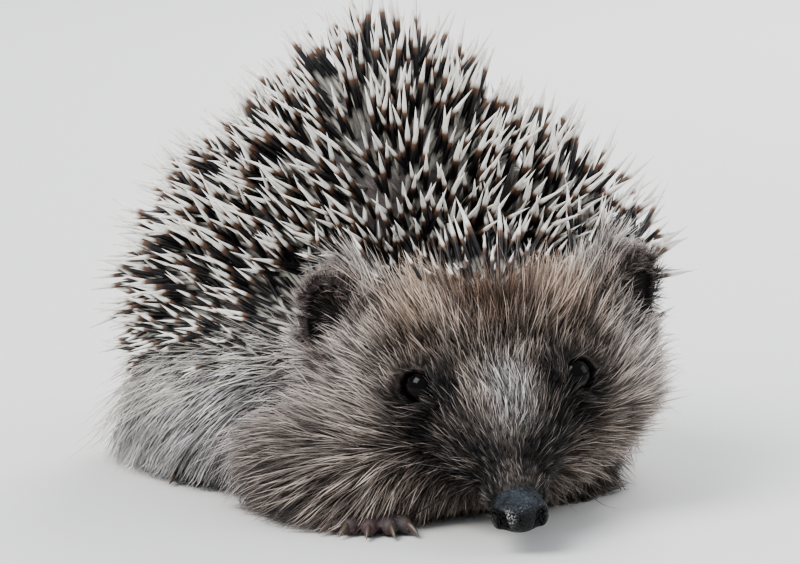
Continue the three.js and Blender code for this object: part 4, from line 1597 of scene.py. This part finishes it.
class HEDGEHOG_OT_under_hair(bpy.types.Operator):
    """Grows the thin hair of the belly, legs, feet, tail and ears"""

    bl_idname = "hedgehog.under_hair"
    bl_label = "Belly, leg and ear hair"

    def execute(self, context):
        lock = {"width": context.scene.hedgehog_sizes.hair_width, "spread": 0.1}
        for name, mask, spacing, curl in (
            ("belly_hair", "belly", 1.5 * MM, 0.15),
            ("leg_hair", "legs", 0.8 * MM, 0.1),
            ("ear_hair", "ear_rims", 0.6 * MM, 0.1),
        ):
            grow_hair(name, mask, 61, lock, Spacing=spacing, Curl=curl, Splay=splay(9, 25, 16))
        return {"FINISHED"}


class HEDGEHOG_OT_guard_hair(bpy.types.Operator):
    """Grows the long pale hairs along the hem and the whiskers"""

    bl_idname = "hedgehog.guard_hair"
    bl_label = "Guard hairs and whiskers"

    def execute(self, context):
        base_length = 3.2 * MM      # of the hair where the whiskers grow
        reach = context.scene.hedgehog_sizes.whisker_length / base_length
        locks = hair_locks("guard_lock", 81, 0.15 * MM, strands=1, rings=5, gap=0.1 * MM)
        bleached = material_of("bleached guard hair", guard_surface)
        stiff = material_of("stiff whisker keratin", whisker_surface)
        grow("hem_hairs", "hair", "hem_band", locks, bleached, Seed=91, Spacing=0.8 * MM,
             Length=1.15, Droop=0.05, Splay=splay(12, 40, 14))
        grow("whiskers", "hair", "whiskered", locks, stiff, Seed=93, Spacing=1.6 * MM,
             Length=reach, Droop=0.08, Splay=splay(10, 40, 16))
        clear_locks(locks)
        return {"FINISHED"}


# ---- The stage ----

SKY = 0xDCE4EE
FLOOR_REACH = 3.0                 # metres from the middle of the floor to its sides
LENS = 200
SENSOR = 36
CAMERA_AZIMUTH = -34
CAMERA_ELEVATION = 10
CAMERA_DISTANCE = 0.838           # metres
CAMERA_SHIFT = (3, 36.5)          # millimetres right and up in the picture, from the stance's origin
LIT = (2.5, -1.7, 36.5)           # what the lamps point at
# Each lamp: its name, its place from there and its size in metres, and its power in watts.
LAMPS = (
    ("key", (-0.76, -0.06, 0.92), 0.7, 15.0),
    ("fill", (0.75, -0.6, 0.5), 0.7, 3.5),
    ("rim", (0.75, 0.55, 0.65), 0.5, 9.0),
)


def floor_surface(tree):
    """Matt board, without a sheen."""
    return {"Base Color": rgba(bpy.context.scene.hedgehog_colours.floor), "Roughness": 0.9}


def lay_floor():
    """The pale studio floor, at the height of the soles."""
    corners = [(x * FLOOR_REACH, y * FLOOR_REACH, 0) for x, y in ((-1, -1), (1, -1), (1, 1), (-1, 1))]
    mesh = bpy.data.meshes.new("floor")
    mesh.from_pydata(corners, [], [(0, 1, 2, 3)])
    piece_from("floor", mesh, material_of("matt studio floor", floor_surface))


def light_stage(scene):
    """An overcast sky, a high key lamp on the animal's right, and a fill and a rim on its left."""
    world = bpy.data.worlds.new("overcast")
    world.use_nodes = True
    sky = world.node_tree.nodes["Background"]
    sky.inputs["Color"].default_value = rgba(linear(SKY))
    sky.inputs["Strength"].default_value = 0.95
    scene.world = world
    target = Vector(metres(LIT))
    for name, place, size, power in LAMPS:
        light = bpy.data.lights.new(name, "AREA")
        light.size = size
        light.energy = power
        lamp = bpy.data.objects.new(name, light)
        lamp.location = target + Vector(place)
        lamp.rotation_euler = (-Vector(place)).to_track_quat("-Z", "Y").to_euler()
        scene.collection.objects.link(lamp)


def place_camera(scene):
    """The camera, low in front of the animal's right cheek, with a long lens."""
    camera = bpy.data.objects.new("camera", bpy.data.cameras.new("camera"))
    camera.data.lens = LENS
    camera.data.sensor_width = SENSOR
    azimuth, elevation = math.radians(CAMERA_AZIMUTH), math.radians(CAMERA_ELEVATION)
    right = Vector((math.cos(azimuth), math.sin(azimuth), 0))
    towards = Vector((math.sin(azimuth), -math.cos(azimuth), 0)) * math.cos(elevation)
    towards.z = math.sin(elevation)
    up = towards.cross(right)
    across, above = CAMERA_SHIFT
    aim = Vector(metres((0, 0, 0))) + right * across * MM + up * above * MM
    camera.matrix_world = Matrix((right, up, towards)).transposed().to_4x4()
    camera.location = aim + towards * CAMERA_DISTANCE
    scene.collection.objects.link(camera)
    scene.camera = camera


class HEDGEHOG_OT_stage(bpy.types.Operator):
    """Sets the pale floor, the soft lights and the camera"""

    bl_idname = "hedgehog.stage"
    bl_label = "Stage"

    def execute(self, context):
        lay_floor()
        light_stage(context.scene)
        place_camera(context.scene)
        context.scene.view_settings.look = "AgX - Medium High Contrast"
        return {"FINISHED"}


class HEDGEHOG_PT_panel(bpy.types.Panel):
    """Lists the steps in the 3D view's sidebar"""

    bl_label = "Hedgehog"
    bl_idname = "HEDGEHOG_PT_panel"
    bl_space_type = "VIEW_3D"
    bl_region_type = "UI"
    bl_category = "Hedgehog"

    def draw(self, context):
        layout = self.layout
        for settings in (context.scene.hedgehog_sizes, context.scene.hedgehog_colours):
            for name in settings.__annotations__:
                layout.prop(settings, name)
        for operator in STEPS:
            layout.operator(operator.bl_idname)


STEPS = (
    HEDGEHOG_OT_skin,
    HEDGEHOG_OT_eyes,
    HEDGEHOG_OT_nose,
    HEDGEHOG_OT_claws,
    HEDGEHOG_OT_quills,
    HEDGEHOG_OT_face_hair,
    HEDGEHOG_OT_flank_hair,
    HEDGEHOG_OT_under_hair,
    HEDGEHOG_OT_guard_hair,
    HEDGEHOG_OT_stage,
)
CLASSES = (HedgehogSizes, HedgehogColours, *STEPS, HEDGEHOG_PT_panel)


def register():
    """Adds the settings, the operators and the panel."""
    for item in CLASSES:
        bpy.utils.register_class(item)
    bpy.types.Scene.hedgehog_sizes = bpy.props.PointerProperty(type=HedgehogSizes)
    bpy.types.Scene.hedgehog_colours = bpy.props.PointerProperty(type=HedgehogColours)


def unregister():
    """Takes them away again."""
    del bpy.types.Scene.hedgehog_colours
    del bpy.types.Scene.hedgehog_sizes
    for item in reversed(CLASSES):
        bpy.utils.unregister_class(item)


def main():
    """Builds everything."""
    register()
    for operator in STEPS:
        group, name = operator.bl_idname.split(".")
        getattr(getattr(bpy.ops, group), name)()


if __name__ == "__main__":
    main()
